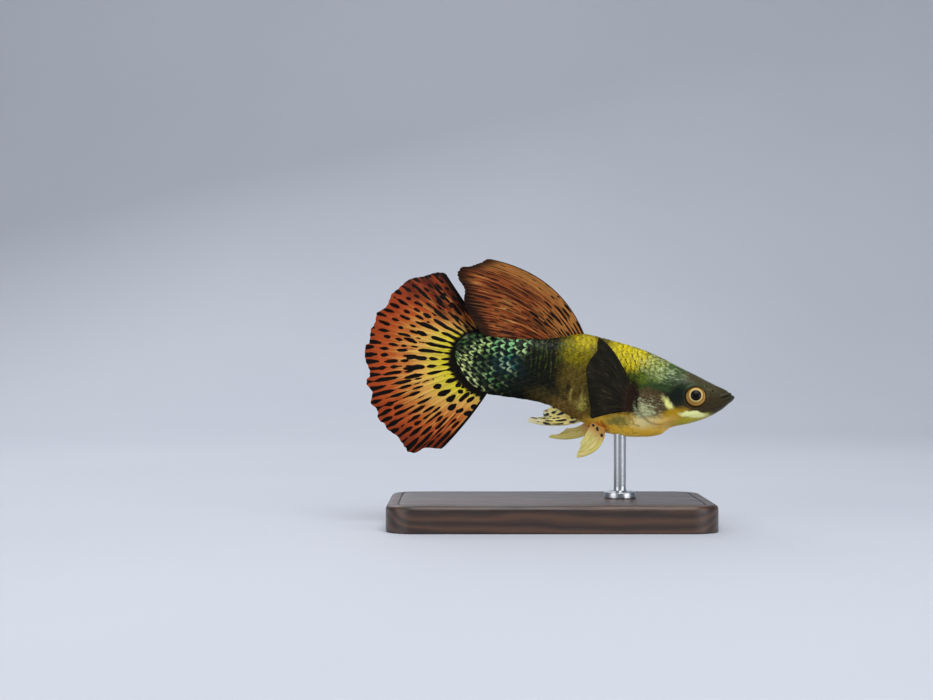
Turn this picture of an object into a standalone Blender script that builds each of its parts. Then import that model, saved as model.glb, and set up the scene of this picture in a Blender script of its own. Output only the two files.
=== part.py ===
"""A male fancy guppy, life size, as a still model on a small display stand.

The fish is drawn straight and level first, in millimetres: "back" is the distance behind the
snout along the body, "side" is positive towards the fish's left, and "up" is measured from the
body's axis. The swimming bend is put on every point, and one empty holds the nose-down tilt.
World axes: +X towards the nose, +Z up, with the origin under the middle of the stand's base.
"""

from math import pi, radians

import bmesh
import bpy
import numpy as np
from mathutils import Euler, Vector

MM = 0.001
GAP = 0.3  # left between two pieces that meet
SCRAP = 0.004  # shorter edges, left by a cut, are closed up

# Pose of the fish
NOSE_PLACE = (19.4, -2.0, 13.5)  # the snout's tip, above the middle of the base
NOSE_DOWN = 7.3  # degrees
HEADING = [(0, 15), (8, 12), (16, 2), (24, -7), (30, -7), (40, 2)]  # back, degrees off straight

# Outline of the body from the side, and its half width, all against the distance back
BACK_LINE = [(0, 0.16), (0.45, 0.38), (1.05, 0.72), (2.3, 1.12), (4.3, 1.86), (6.3, 2.54),
             (8.5, 3.3), (11, 3.86), (14, 4.3), (16.6, 4.66), (18.6, 4.25), (20.8, 3.68),
             (24, 3.48), (26, 3.4), (28, 3.46), (29.1, 3.2), (29.9, 2.35), (30.25, 1.25)]
BELLY_LINE = [(0, -0.2), (0.35, -0.5), (1.2, -1.4), (2.6, -2.36), (4.4, -3.2), (6.3, -3.85),
              (7.3, -4.62), (8.6, -5.16), (11.2, -5.5), (13.4, -5.34), (15, -4.84), (17.2, -4.14),
              (19.4, -3.28), (21.6, -3.0), (26, -2.93), (27.1, -2.66), (28.3, -2.1),
              (29.4, -1.05), (30.25, 0.85)]
HALF_WIDTH = [(0, 0.55), (0.4, 0.8), (1.2, 1.15), (2.6, 1.62), (4.1, 1.98), (6.2, 2.3), (8.6, 2.48),
              (11.2, 2.46), (14, 2.2), (18, 1.66), (22, 1.16), (26, 0.78), (28.5, 0.52), (30.25, 0.32)]
WIDEST_SHARE = [(0, 0.5), (4, 0.5), (8, 0.46), (12, 0.42), (18, 0.5), (30.25, 0.5)]  # up the depth
ROUND_ABOVE = [(0, 2.2), (3, 2.5), (8, 2.15), (14, 1.95), (30.25, 1.9)]  # 2 is an ellipse
ROUND_BELOW = [(0, 2.2), (5, 2.2), (10, 2.0), (16, 1.85), (30.25, 1.9)]
BODY_END = 30.25
SNOUT_ROUND = 0.34
GILL_CUT = 10.1  # where the head ends and the trunk begins
VENT_CUT = 21.0  # where the trunk ends and the tail stalk begins

# Head: the mouth is where a slanting plane meets the snout
MOUTH_HEIGHT = 0.42
MOUTH_SLOPE = -0.5
MOUTH_CORNER = 1.35
MOUTH_DEEP = 0.16
MOUTH_WIDE = 0.085
LIP_HIGH = 0.07
LIP_OFF = 0.21
LIP_WIDE = 0.12
NOSTRILS = [(2.2, 0.42, 0.15), (2.85, 0.86, 0.13)]  # back, up, radius
EYE_PLACE = (3.88, -0.42)  # back, up
EYE_RADIUS = 1.08
EYE_THICK = 0.74  # half, from side to side
EYE_PROUD = 0.3  # beyond the skin
EYE_FORWARD = 10  # degrees
EYE_GAP = 0.22
ORBIT_HIGH = 0.07
ORBIT_OFF = 0.34  # beyond the eye
ORBIT_WIDE = 0.2
GILL_MIDDLE = (7.5, -1.1)
GILL_REACH = (2.52, 2.6)
GILL_EDGE = (1.08, 0.97)  # shares of the reach, where the cover starts and is full
GILL_HIGH = 0.24
CHEEK_GROOVE = 0.07
CHEEK_REACH = 0.52
CHEEK_WIDE = 0.09

HEAD_RINGS = 28
GILL_RINGS = 10
GILL_FINE = 8.4  # rings lie closer from here to the gill's edge
TRUNK_RINGS = 14
STALK_RINGS = 14
GIRTH = 44  # points round the body
HEAD_GIRTH = 52
ROOT_CROWD = 1.4  # a fin's rows lie closer together at its root
RAY_HEIGHT = [(0, 0.4), (0.4, 1), (0.85, 1.25), (1, 0.25)]  # of a ray's ridge, from root to tip

# How the fins stand off the body's middle plane or flank
DORSAL_LEAN = 1.05
UPPER_LOBE_CURL = 0.95
LOWER_LOBE_CURL = 0.5
PECTORAL_ROOT = 2.28
PECTORAL_RISE = 0.75
PECTORAL_CUP = 0.2
PECTORAL_FLARE = {"pectoral_fin_right": 0.24, "pectoral_fin_left": 0.2}

# Stand
BASE_SIZE = (34.0, 20.0, 2.8)
BASE_CORNER = 3.0
BASE_EDGE = 0.5
ROD_RADIUS = 0.65
ROD_BACK = 11.5  # the belly's point that it holds
COLLAR_RADIUS = 1.7
COLLAR_HIGH = 0.7
ROD_FILLET = 0.18
ROD_SPARE = 1.5  # runs on into the belly before it is cut


def profile(points):
    """A smooth height over distance through the points, which doesn't overshoot them."""
    x, y = np.array(points, float).T
    slope = np.diff(y) / np.diff(x)
    both = slope[:-1] * slope[1:]
    mean = np.where(both > 0, 2 * both / np.where(both > 0, slope[:-1] + slope[1:], 1), 0)
    steep = np.concatenate([slope[:1], mean, slope[-1:]])

    def height(at):
        at = np.clip(np.asarray(at, float), x[0], x[-1])
        i = np.clip(np.searchsorted(x, at, side="right") - 1, 0, len(x) - 2)
        wide = x[i + 1] - x[i]
        t = (at - x[i]) / wide
        start = y[i] * (1 + 2 * t) * (1 - t) ** 2 + steep[i] * wide * t * (1 - t) ** 2
        return start + y[i + 1] * t * t * (3 - 2 * t) + steep[i + 1] * wide * t * t * (t - 1)

    return height


def route(points):
    """A smooth line through the points, as a function of the share of its length."""
    points = np.array(points, float)
    along = np.concatenate([[0], np.cumsum(np.linalg.norm(np.diff(points, axis=0), axis=1))])
    parts = [profile(np.column_stack([along / along[-1], column])) for column in points.T]
    return lambda share: np.stack([part(share) for part in parts], axis=-1)


back_line = profile(BACK_LINE)
belly_line = profile(BELLY_LINE)
half_width = profile(HALF_WIDTH)
widest_share = profile(WIDEST_SHARE)
round_above = profile(ROUND_ABOVE)
round_below = profile(ROUND_BELOW)
heading = profile(HEADING)

SPINE = np.linspace(-1, 46, 941)
_turn = np.radians(heading(SPINE))
_turn = (_turn[1:] + _turn[:-1]) / 2
_step = SPINE[1] - SPINE[0]
SPINE_BACK = np.concatenate([[0], np.cumsum(np.cos(_turn) * _step)])
SPINE_SIDE = np.concatenate([[0], np.cumsum(np.sin(_turn) * _step)])
SPINE_BACK -= np.interp(0, SPINE, SPINE_BACK)
SPINE_SIDE -= np.interp(0, SPINE, SPINE_SIDE)


def bent(back, side, up):
    """Points of the straight fish put on the swimming bend, in metres from the snout's tip."""
    turn = np.radians(heading(back))
    x = -np.interp(back, SPINE, SPINE_BACK) + side * np.sin(turn)
    y = np.interp(back, SPINE, SPINE_SIDE) + side * np.cos(turn)
    return np.stack([x, y, np.broadcast_to(up, np.shape(x))], axis=-1) * MM


def ease(low, high, value):
    t = np.clip((value - low) / (high - low), 0, 1)
    return t * t * (3 - 2 * t)


def hump(value, middle, wide):
    return np.exp(-(((value - middle) / wide) ** 2))


def relief(back, side_share, up):
    """How far the head's surface stands out for its lips, eye rims and gill covers."""
    flank = ease(0.2, 0.6, side_share)
    off = (up - MOUTH_HEIGHT - MOUTH_SLOPE * back) / np.hypot(1, MOUTH_SLOPE)
    gape = 1 - ease(MOUTH_CORNER - 0.35, MOUTH_CORNER + 0.1, back)
    out = gape * (LIP_HIGH * hump(abs(off), LIP_OFF, LIP_WIDE) - MOUTH_DEEP * hump(off, 0, MOUTH_WIDE))
    eye = np.hypot(back - EYE_PLACE[0], up - EYE_PLACE[1])
    out = out + flank * ORBIT_HIGH * hump(eye, EYE_RADIUS + ORBIT_OFF, ORBIT_WIDE)
    gill = np.hypot((back - GILL_MIDDLE[0]) / GILL_REACH[0], (up - GILL_MIDDLE[1]) / GILL_REACH[1])
    cover = GILL_HIGH * ease(*GILL_EDGE, gill) * ease(0.35, 0.95, gill)
    cover = cover - CHEEK_GROOVE * hump(gill, CHEEK_REACH, CHEEK_WIDE)
    return out + flank * ease(5.4, 7.4, back) * cover


def skin(back, around, grow=0.0):
    """A point of the straight body's surface: around is 0 at the left side and pi/2 on the back."""
    blunt = np.sqrt(1 - (1 - np.clip(back / SNOUT_ROUND, 0, 1)) ** 2)
    top = back_line(back) * blunt
    bottom = belly_line(back) * blunt
    wide = half_width(back) * blunt
    middle = bottom + widest_share(back) * (top - bottom)
    c, s = np.cos(around), np.sin(around)
    above = s > 0
    power = 2 / np.where(above, round_above(back), round_below(back))
    high = np.where(above, top - middle, middle - bottom)
    side = wide * np.sign(c) * abs(c) ** power
    rise = high * np.sign(s) * abs(s) ** power
    share = abs(side) / np.maximum(wide, 1e-6)
    lean = np.stack([side / np.maximum(wide, 1e-3) ** 2, rise / np.maximum(high, 1e-3) ** 2])
    lean = lean / np.maximum(np.linalg.norm(lean, axis=0), 1e-6)
    stand = grow + relief(back, share, middle + rise) * ease(0, 0.25, back)
    return back + grow * back / BODY_END, side + lean[0] * stand, middle + rise + lean[1] * stand


def material(name, colour, roughness, metallic=0.0):
    made = bpy.data.materials.new(name)
    made.use_nodes = True
    shader = made.node_tree.nodes["Principled BSDF"]
    shader.inputs["Base Color"].default_value = (*colour, 1)
    shader.inputs["Roughness"].default_value = roughness
    shader.inputs["Metallic"].default_value = metallic
    return made


def add(name, bm, finish, parent=None):
    """A named object with its own material, drawn in its parent's frame."""
    mesh = bpy.data.meshes.new(name)
    bm.to_mesh(mesh)
    bm.free()
    mesh.materials.append(finish)
    made = bpy.data.objects.new(name, mesh)
    bpy.context.scene.collection.objects.link(made)
    made.parent = parent
    return made


def cutter(name, bm, parent=None):
    made = add(name, bm, material(name, (0.5, 0.5, 0.5), 0.5), parent)
    made.hide_render = True
    made.display_type = "WIRE"
    return made


def cut(target, tool):
    boolean = target.modifiers.new(tool.name, "BOOLEAN")
    boolean.operation = "DIFFERENCE"
    boolean.object = tool
    boolean.solver = "EXACT"


def settle(target):
    """Applies the modifiers and keeps the largest closed surface."""
    bpy.context.view_layer.update()
    graph = bpy.context.evaluated_depsgraph_get()
    mesh = bpy.data.meshes.new_from_object(target.evaluated_get(graph))
    target.modifiers.clear()
    target.data = mesh
    bm = bmesh.new()
    bm.from_mesh(mesh)
    left, largest = set(bm.verts), set()
    while left:
        island, reached = set(), [left.pop()]
        while reached:
            vert = reached.pop()
            island.add(vert)
            near = {edge.other_vert(vert) for edge in vert.link_edges} & left
            left -= near
            reached.extend(near)
        largest = max(largest, island, key=len)
    bmesh.ops.delete(bm, geom=[v for v in bm.verts if v not in largest], context="VERTS")
    bmesh.ops.remove_doubles(bm, verts=bm.verts, dist=SCRAP * MM)
    bmesh.ops.triangulate(bm, faces=bm.faces)
    bm.to_mesh(mesh)
    bm.free()


def loft(stations, count=GIRTH, grow=0.0):
    """A closed length of the body through rings at the stations, bridged and capped."""
    bm = bmesh.new()
    around = np.arange(count) * 2 * pi / count
    rings = []
    for station in stations:
        corners = bent(*skin(np.full(count, float(station)), around, grow))
        verts = [bm.verts.new(corner) for corner in corners]
        rings.append([bm.edges.new((verts[i], verts[i - 1])) for i in range(count)])
    for first, second in zip(rings, rings[1:]):
        bmesh.ops.bridge_loops(bm, edges=first + second)
    for end in (rings[0], rings[-1]):
        bmesh.ops.contextual_create(bm, geom=end)
    bmesh.ops.recalc_face_normals(bm, faces=bm.faces)
    return bm


def smooth(target, angle=40):
    target.data.shade_smooth()
    target.data.set_sharp_from_angle(angle=radians(angle))


def head_stations():
    front = GILL_FINE * (np.arange(1, HEAD_RINGS + 1) / HEAD_RINGS) ** 1.7
    return [*front, *np.linspace(GILL_FINE, GILL_CUT - GAP / 2, GILL_RINGS + 1)[1:]]


def stalk_stations():
    left = np.linspace(1, 0, STALK_RINGS) ** 1.5
    return BODY_END - left * (BODY_END - VENT_CUT - GAP / 2)


def eye_middle(hand):
    """The centre of an eyeball: hand is 1 on the fish's left and -1 on its right."""
    out = half_width(EYE_PLACE[0]) + EYE_PROUD - EYE_THICK
    return bent(EYE_PLACE[0], hand * out, EYE_PLACE[1])


def eyeball(hand, grow=0.0):
    """A ball flattened from side to side, facing out and a little forward."""
    bm = bmesh.new()
    bmesh.ops.create_uvsphere(bm, u_segments=20, v_segments=10, radius=1)
    for vert in bm.verts:
        wide = (EYE_RADIUS + grow) * MM
        vert.co = (vert.co.x * wide, vert.co.y * wide, vert.co.z * (EYE_THICK + grow) * MM)
    forward = radians(heading(EYE_PLACE[0]) + hand * EYE_FORWARD)
    turn = Euler((-hand * pi / 2, 0, -forward)).to_matrix()
    bmesh.ops.rotate(bm, verts=bm.verts, matrix=turn)
    bmesh.ops.translate(bm, verts=bm.verts, vec=eye_middle(hand))
    return bm


def nostril_pits(parent):
    """Small balls that sink the nostrils, two on each side."""
    bm = bmesh.new()
    for hand in (1, -1):
        for back, up, radius in NOSTRILS:
            around = np.linspace(0.05, pi / 2 - 0.05, 90)
            _, sides, ups = skin(np.full(90, back), around)
            at = int(np.argmin(abs(ups - up)))
            ball = bmesh.ops.create_icosphere(bm, subdivisions=2, radius=radius * MM)
            bmesh.ops.translate(bm, verts=ball["verts"], vec=bent(back, hand * sides[at], ups[at]))
    return cutter("nostril_pits", bm, parent)


def fin(name, spec, finish, clearance, parent):
    """A membrane between rays, as a grid of triangles made solid by Solidify.

    Each ray is a curve from its root through a bow to its tip. The rays are ridges, because
    the thickness swells along them, and both faces are split into triangles alike.
    """
    rays, rows = spec["rays"], spec["rows"]
    columns = 2 * rays + 1
    root, bow, tip = (route(spec[key]) for key in ("root", "bow", "tip"))
    across = np.linspace(0, 1, columns)[:, None, None]
    along = np.linspace(0, 1, rows + 1)[None, :, None] ** ROOT_CROWD
    flat = root(across[..., 0]) * (1 - along) ** 2 + 2 * bow(across[..., 0]) * along * (1 - along)
    flat = flat + tip(across[..., 0]) * along**2
    u, t = across[..., 0], along[..., 0]
    side = spec["side"](u, t, flat[..., 0])
    places = bent(flat[..., 0], side, flat[..., 1])
    bm = bmesh.new()
    layer = bm.verts.layers.deform.verify()
    thick, ray_height = profile(spec["thick"]), profile(RAY_HEIGHT)
    grid = []
    for i in range(columns):
        ridge = spec["ridge"] * (i % 2)
        column = []
        for j in range(rows + 1):
            vert = bm.verts.new(places[i, j])
            share = (j / rows) ** ROOT_CROWD
            ray = ridge * float(ray_height(share))
            vert[layer][0] = (float(thick(share)) + ray) / spec["most"]
            column.append(vert)
        grid.append(column)
    for i in range(columns - 1):
        for j in range(rows):
            a, b, c, d = grid[i][j], grid[i + 1][j], grid[i + 1][j + 1], grid[i][j + 1]
            bm.faces.new((a, b, c))
            bm.faces.new((a, c, d))
    made = add(name, bm, finish, parent)
    made.vertex_groups.new(name="thickness")
    solid = made.modifiers.new("membrane", "SOLIDIFY")
    solid.thickness = spec["most"] * MM
    solid.offset = 0
    solid.vertex_group = "thickness"
    solid.use_even_offset = False
    cut(made, clearance)
    settle(made)
    smooth(made, 16)
    return made


def folds(u, t, count, high, phase):
    """Soft folds that run along the rays and grow towards the tips."""
    return high * np.sin(2 * pi * count * u + phase) * t


def dorsal_side(u, t, back):
    """The sail leans to the fish's right as it trails back, clear of the tail fin."""
    return -DORSAL_LEAN * t**1.5 + folds(u, t, 1.5, 0.12, 0.4)


def caudal_side(u, t, back):
    """Both lobes of the tail fan curl a little to the fish's left."""
    curl = UPPER_LOBE_CURL * ease(0.34, 0, u) + LOWER_LOBE_CURL * ease(0.75, 1, u)
    return curl * t + folds(u, t * t, 2.6, 0.3, 1.0)


def pectoral_side(hand, flare):
    """Each side fin leaves the flank steeply at its root, then stands off it like an ear."""

    def side(u, t, back):
        root = PECTORAL_ROOT + PECTORAL_RISE * ease(0, 0.15, t)
        return hand * (root + flare * (back - GILL_CUT) + PECTORAL_CUP * np.sin(pi * u) * t)

    return side


def spread(root, tip):
    return lambda u, t, back: root + (tip - root) * t


FINS = {
    "dorsal_fin": {
        "rays": 15, "rows": 11, "ridge": 0.26, "most": 0.9,
        "root": [(16.5, 4.2), (18.6, 3.8), (20.9, 3.2)],
        "bow": [(19.6, 10.7), (22.6, 9.0), (24.0, 6.4), (24.2, 3.95)],
        "tip": [(27.6, 11.25), (28.7, 10.8), (29.9, 10.25), (30.6, 10.05), (31.05, 9.3), (30.8, 8.6),
                (30.1, 7.8), (29.75, 6.7), (29.3, 6.0), (28.3, 5.0), (27.4, 4.3), (26.8, 4.0)],
        "thick": [(0, 0.6), (0.6, 0.5), (0.9, 0.42), (1, 0.22)],
        "side": dorsal_side,
    },
    "caudal_fin": {
        "rays": 24, "rows": 12, "ridge": 0.26, "most": 0.9,
        "root": [(26.6, 3.0), (28.4, 2.3), (29.2, 1.2), (29.2, 0.2), (28.4, -0.9), (27.2, -1.8),
                 (25.9, -2.4)],
        "bow": [(29.4, 6.05), (32, 5.2), (34.2, 1.2), (33.6, -2.4), (30.6, -5.2), (27.6, -6.0)],
        "tip": [(32, 9.2), (33, 9.25), (34.6, 8.55), (36, 8), (37.1, 6.8), (37.8, 5.5), (38.5, 4.4),
                (39, 3.1), (39.3, 1.9), (39.5, 0.6), (39.6, -0.2), (39.1, -1.6), (38.9, -2.5),
                (39, -3.2), (38.4, -4.4), (38.2, -5.3), (37.5, -6.2), (37, -7.2), (36.2, -7.95),
                (35, -8.6), (34, -9.7), (33.3, -10.1), (32.4, -9.8), (31.2, -9.4), (29.95, -9.1)],
        "thick": [(0, 0.6), (0.6, 0.5), (0.9, 0.42), (1, 0.22)],
        "side": caudal_side,
    },
    "anal_fin": {
        "rays": 6, "rows": 9, "ridge": 0.18, "most": 0.9,
        "root": [(15.2, -4.3), (17, -3.7), (18.7, -3.0)],
        "bow": [(17.8, -5.9), (18.6, -4.6), (19.2, -3.7)],
        "tip": [(21.5, -5.35), (21.3, -4.85), (20.3, -4.65), (19.8, -4.55), (19.95, -4.1),
                (19.65, -3.75)],
        "thick": [(0, 0.6), (0.7, 0.5), (1, 0.25)],
        "side": spread(0, -0.1),
    },
    "pelvic_fin_right": {
        "rays": 5, "rows": 8, "ridge": 0.12, "most": 0.9,
        "root": [(13.2, -4.7), (13.9, -4.6), (14.6, -4.4)],
        "bow": [(12.4, -7.5), (13.7, -6.9), (15.1, -6.1)],
        "tip": [(15.8, -8.45), (15.85, -7.95), (15.6, -7.4), (15.55, -7.0), (15.65, -6.7)],
        "thick": [(0, 0.62), (0.6, 0.5), (1, 0.24)],
        "side": spread(-0.75, -1.5),
    },
    "pelvic_fin_left": {
        "rays": 5, "rows": 9, "ridge": 0.12, "most": 0.9,
        "root": [(13.4, -4.7), (14.1, -4.6), (14.8, -4.4)],
        "bow": [(15.5, -7.2), (15.9, -6.4), (16.1, -5.5)],
        "tip": [(19, -6.75), (18.7, -6.45), (18, -6.3), (17.5, -5.9), (17.1, -5.5)],
        "thick": [(0, 0.62), (0.6, 0.5), (1, 0.24)],
        "side": spread(0.8, 1.25),
    },
}

PECTORAL = {
    "rays": 13, "rows": 9, "ridge": 0.22, "most": 0.9,
    "root": [(10.35, -0.95), (10.5, -1.8), (10.55, -2.75)],
    "bow": [(12.6, 3.6), (13.3, 0.6), (13.3, -1.6), (13.0, -3.3)],
    "tip": [(15.15, 4.5), (15.2, 3.9), (15.1, 3.2), (15.5, 2.5), (15.9, 1.8), (16.1, 1), (15.9, 0.1),
            (15.8, -0.9), (15.7, -1.7), (15.5, -2.5), (15.35, -3.2), (15.4, -3.7), (15.1, -4.05)],
    "thick": [(0, 0.66), (0.25, 0.56), (0.9, 0.46), (1, 0.24)],
}


def stand_rod(finish, clearance, foot, top):
    """A turned rod on a collar, its top cut to the belly's shape."""
    collar = foot + COLLAR_HIGH
    outline = [(ROD_RADIUS, top), (ROD_RADIUS, collar + 3 * ROD_FILLET), (ROD_RADIUS + ROD_FILLET, collar),
               (COLLAR_RADIUS - ROD_FILLET, collar), (COLLAR_RADIUS, collar - ROD_FILLET),
               (COLLAR_RADIUS, foot)]
    bm = bmesh.new()
    line = [bm.verts.new((r * MM, 0, z * MM)) for r, z in [(0, top), *outline, (0, foot)]]
    edges = [bm.edges.new(pair) for pair in zip(line, line[1:])]
    bmesh.ops.spin(bm, geom=line + edges, angle=2 * pi, steps=20, axis=(0, 0, 1), cent=(0, 0, 0))
    bmesh.ops.remove_doubles(bm, verts=bm.verts, dist=1e-6)
    bmesh.ops.recalc_face_normals(bm, faces=bm.faces)
    rod = add("stand_rod", bm, finish)
    cut(rod, clearance)
    return rod


def stand_base(finish):
    """A flat plate with round corners and a small rounded upper edge."""
    bm = bmesh.new()
    bmesh.ops.create_cube(bm, size=1)
    for vert in bm.verts:
        vert.co = [c * size * MM for c, size in zip(vert.co, BASE_SIZE)]
        vert.co.z += BASE_SIZE[2] / 2 * MM
    upright = [e for e in bm.edges if abs(e.verts[0].co.z - e.verts[1].co.z) > MM]
    bmesh.ops.bevel(bm, geom=upright, offset=BASE_CORNER * MM, segments=6, profile=0.5, affect="EDGES")
    rim = [e for e in bm.edges if all(v.co.z > (BASE_SIZE[2] - 0.01) * MM for v in e.verts)]
    bmesh.ops.bevel(bm, geom=rim, offset=BASE_EDGE * MM, segments=2, profile=0.5, affect="EDGES")
    return add("stand_base", bm, finish)


def main():
    for old in list(bpy.data.objects):
        bpy.data.objects.remove(old)
    fish = bpy.data.objects.new("fish_pose", None)
    bpy.context.scene.collection.objects.link(fish)
    fish.location = [value * MM for value in NOSE_PLACE]
    fish.rotation_euler = (0, radians(NOSE_DOWN), 0)

    head_skin = material("head_skin", (0.13, 0.15, 0.07), 0.35)
    trunk_skin = material("trunk_skin", (0.42, 0.36, 0.06), 0.35)
    stalk_skin = material("stalk_skin", (0.03, 0.09, 0.06), 0.3)
    iris = material("iris", (0.75, 0.42, 0.13), 0.2)
    black_membrane = material("black_membrane", (0.012, 0.013, 0.01), 0.4)
    sail_membrane = material("sail_membrane", (0.36, 0.12, 0.04), 0.45)
    fan_membrane = material("fan_membrane", (0.6, 0.24, 0.06), 0.45)
    pale_membrane = material("pale_membrane", (0.75, 0.66, 0.25), 0.4)
    dark_wood = material("dark_wood", (0.05, 0.032, 0.022), 0.5)
    steel = material("steel", (0.6, 0.6, 0.62), 0.3, 1.0)

    rear = stalk_stations()
    whole = [*head_stations(), *np.linspace(GILL_CUT, VENT_CUT, TRUNK_RINGS)[:-1], *rear]
    clearance = cutter("clearance_round_body", loft(whole, GIRTH, GAP), fish)

    head = add("head", loft(head_stations(), HEAD_GIRTH), head_skin, fish)
    for hand in (1, -1):
        cut(head, cutter(f"socket_{hand}", eyeball(hand, EYE_GAP), fish))
    cut(head, nostril_pits(fish))
    settle(head)
    smooth(head)
    trunk = np.linspace(GILL_CUT + GAP / 2, VENT_CUT - GAP / 2, TRUNK_RINGS)
    smooth(add("torso", loft(trunk), trunk_skin, fish))
    smooth(add("tail_stalk", loft(rear), stalk_skin, fish))
    smooth(add("eye_left", eyeball(1), iris, fish))
    smooth(add("eye_right", eyeball(-1), iris, fish))

    finishes = {"dorsal_fin": sail_membrane, "caudal_fin": fan_membrane}
    for name, spec in FINS.items():
        fin(name, spec, finishes.get(name, pale_membrane), clearance, fish)
    for name, flare in PECTORAL_FLARE.items():
        hand = 1 if name.endswith("left") else -1
        spec = {**PECTORAL, "side": pectoral_side(hand, flare)}
        fin(name, spec, black_membrane, clearance, fish)

    bpy.context.view_layer.update()
    held = fish.matrix_world @ Vector(bent(ROD_BACK, 0, belly_line(ROD_BACK)))
    rod = stand_rod(steel, clearance, BASE_SIZE[2] + GAP, held.z / MM + ROD_SPARE)
    rod.location = (held.x, held.y, 0)
    settle(rod)
    smooth(rod)
    smooth(stand_base(dark_wood))

    for helper in [o for o in bpy.data.objects if o.type == "MESH" and o.hide_render]:
        bpy.data.objects.remove(helper)


main()
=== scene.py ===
"""A male fancy guppy, life size, as a still model on a small display stand.

The fish is drawn straight and level first, in millimetres: "back" is the distance behind the
snout along the body, "side" is positive towards the fish's left, and "up" is measured from the
body's axis. The swimming bend is put on every point, and then the nose-down tilt.
"""

from functools import partialmethod
from math import cos, pi, radians, sin

import bmesh
import bpy
import numpy as np
from mathutils import Euler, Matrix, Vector


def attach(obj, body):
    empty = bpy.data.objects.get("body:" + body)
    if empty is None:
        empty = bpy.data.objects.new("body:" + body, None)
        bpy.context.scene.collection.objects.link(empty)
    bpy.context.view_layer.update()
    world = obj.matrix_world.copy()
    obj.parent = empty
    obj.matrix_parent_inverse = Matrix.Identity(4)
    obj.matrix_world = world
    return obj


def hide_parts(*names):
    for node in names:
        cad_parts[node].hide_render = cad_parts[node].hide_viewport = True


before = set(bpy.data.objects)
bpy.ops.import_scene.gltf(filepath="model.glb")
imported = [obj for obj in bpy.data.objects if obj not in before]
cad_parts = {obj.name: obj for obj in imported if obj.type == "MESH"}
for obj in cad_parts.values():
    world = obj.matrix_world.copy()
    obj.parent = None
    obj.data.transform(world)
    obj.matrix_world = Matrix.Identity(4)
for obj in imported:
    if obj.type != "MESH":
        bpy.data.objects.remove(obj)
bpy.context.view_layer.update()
scene = bpy.context.scene

# The studio: a pale table top that sweeps up into its backdrop, five soft lamps and the camera,
# which stands level with the fish's back and looks straight across it. None of it is the model.
CAMERA_PLACE = (-0.00874, -0.192, 0.01854)
CAMERA_LENS = 69.82  # mm
SENSOR_WIDTH = 36
TABLE_FRONT = -0.5
TABLE_BACK = 0.42
SWEEP_RADIUS = 0.22
SWEEP_STEPS = 24
BACKDROP_TOP = 0.9
TABLE_HALF_WIDE = 1.0
TABLE_PALE = "#bcc1ca"
TABLE_SHADE = "#b8bdc7"
AIR_COLOUR = (0.80, 0.87, 1.0, 1)
AIR_STRENGTH = 0.2
LAMPS = {  # place, where it points, side of its square, watts
    "lamp_above": ((0.03, -0.17, 0.27), (0, 0, 0.015), 0.2, 0.62),
    "lamp_right": ((0.24, -0.2, 0.06), (0, 0, 0.015), 0.2, 0.36),
    "lamp_left": ((-0.24, -0.18, 0.07), (0, 0, 0.015), 0.2, 0.3),
    "lamp_behind": ((-0.1, 0.2, 0.22), (0, 0, 0.015), 0.25, 0.35),
    "lamp_backdrop": ((0, 0.1, 0.7), (0, 0.42, 0.1), 0.4, 1.5),
}


def linear(code):
    """The linear colour of a six-figure colour code."""
    parts = [int(code[i : i + 2], 16) / 255 for i in (1, 3, 5)]
    return (*(c / 12.92 if c <= 0.04045 else ((c + 0.055) / 1.055) ** 2.4 for c in parts), 1)


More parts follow.
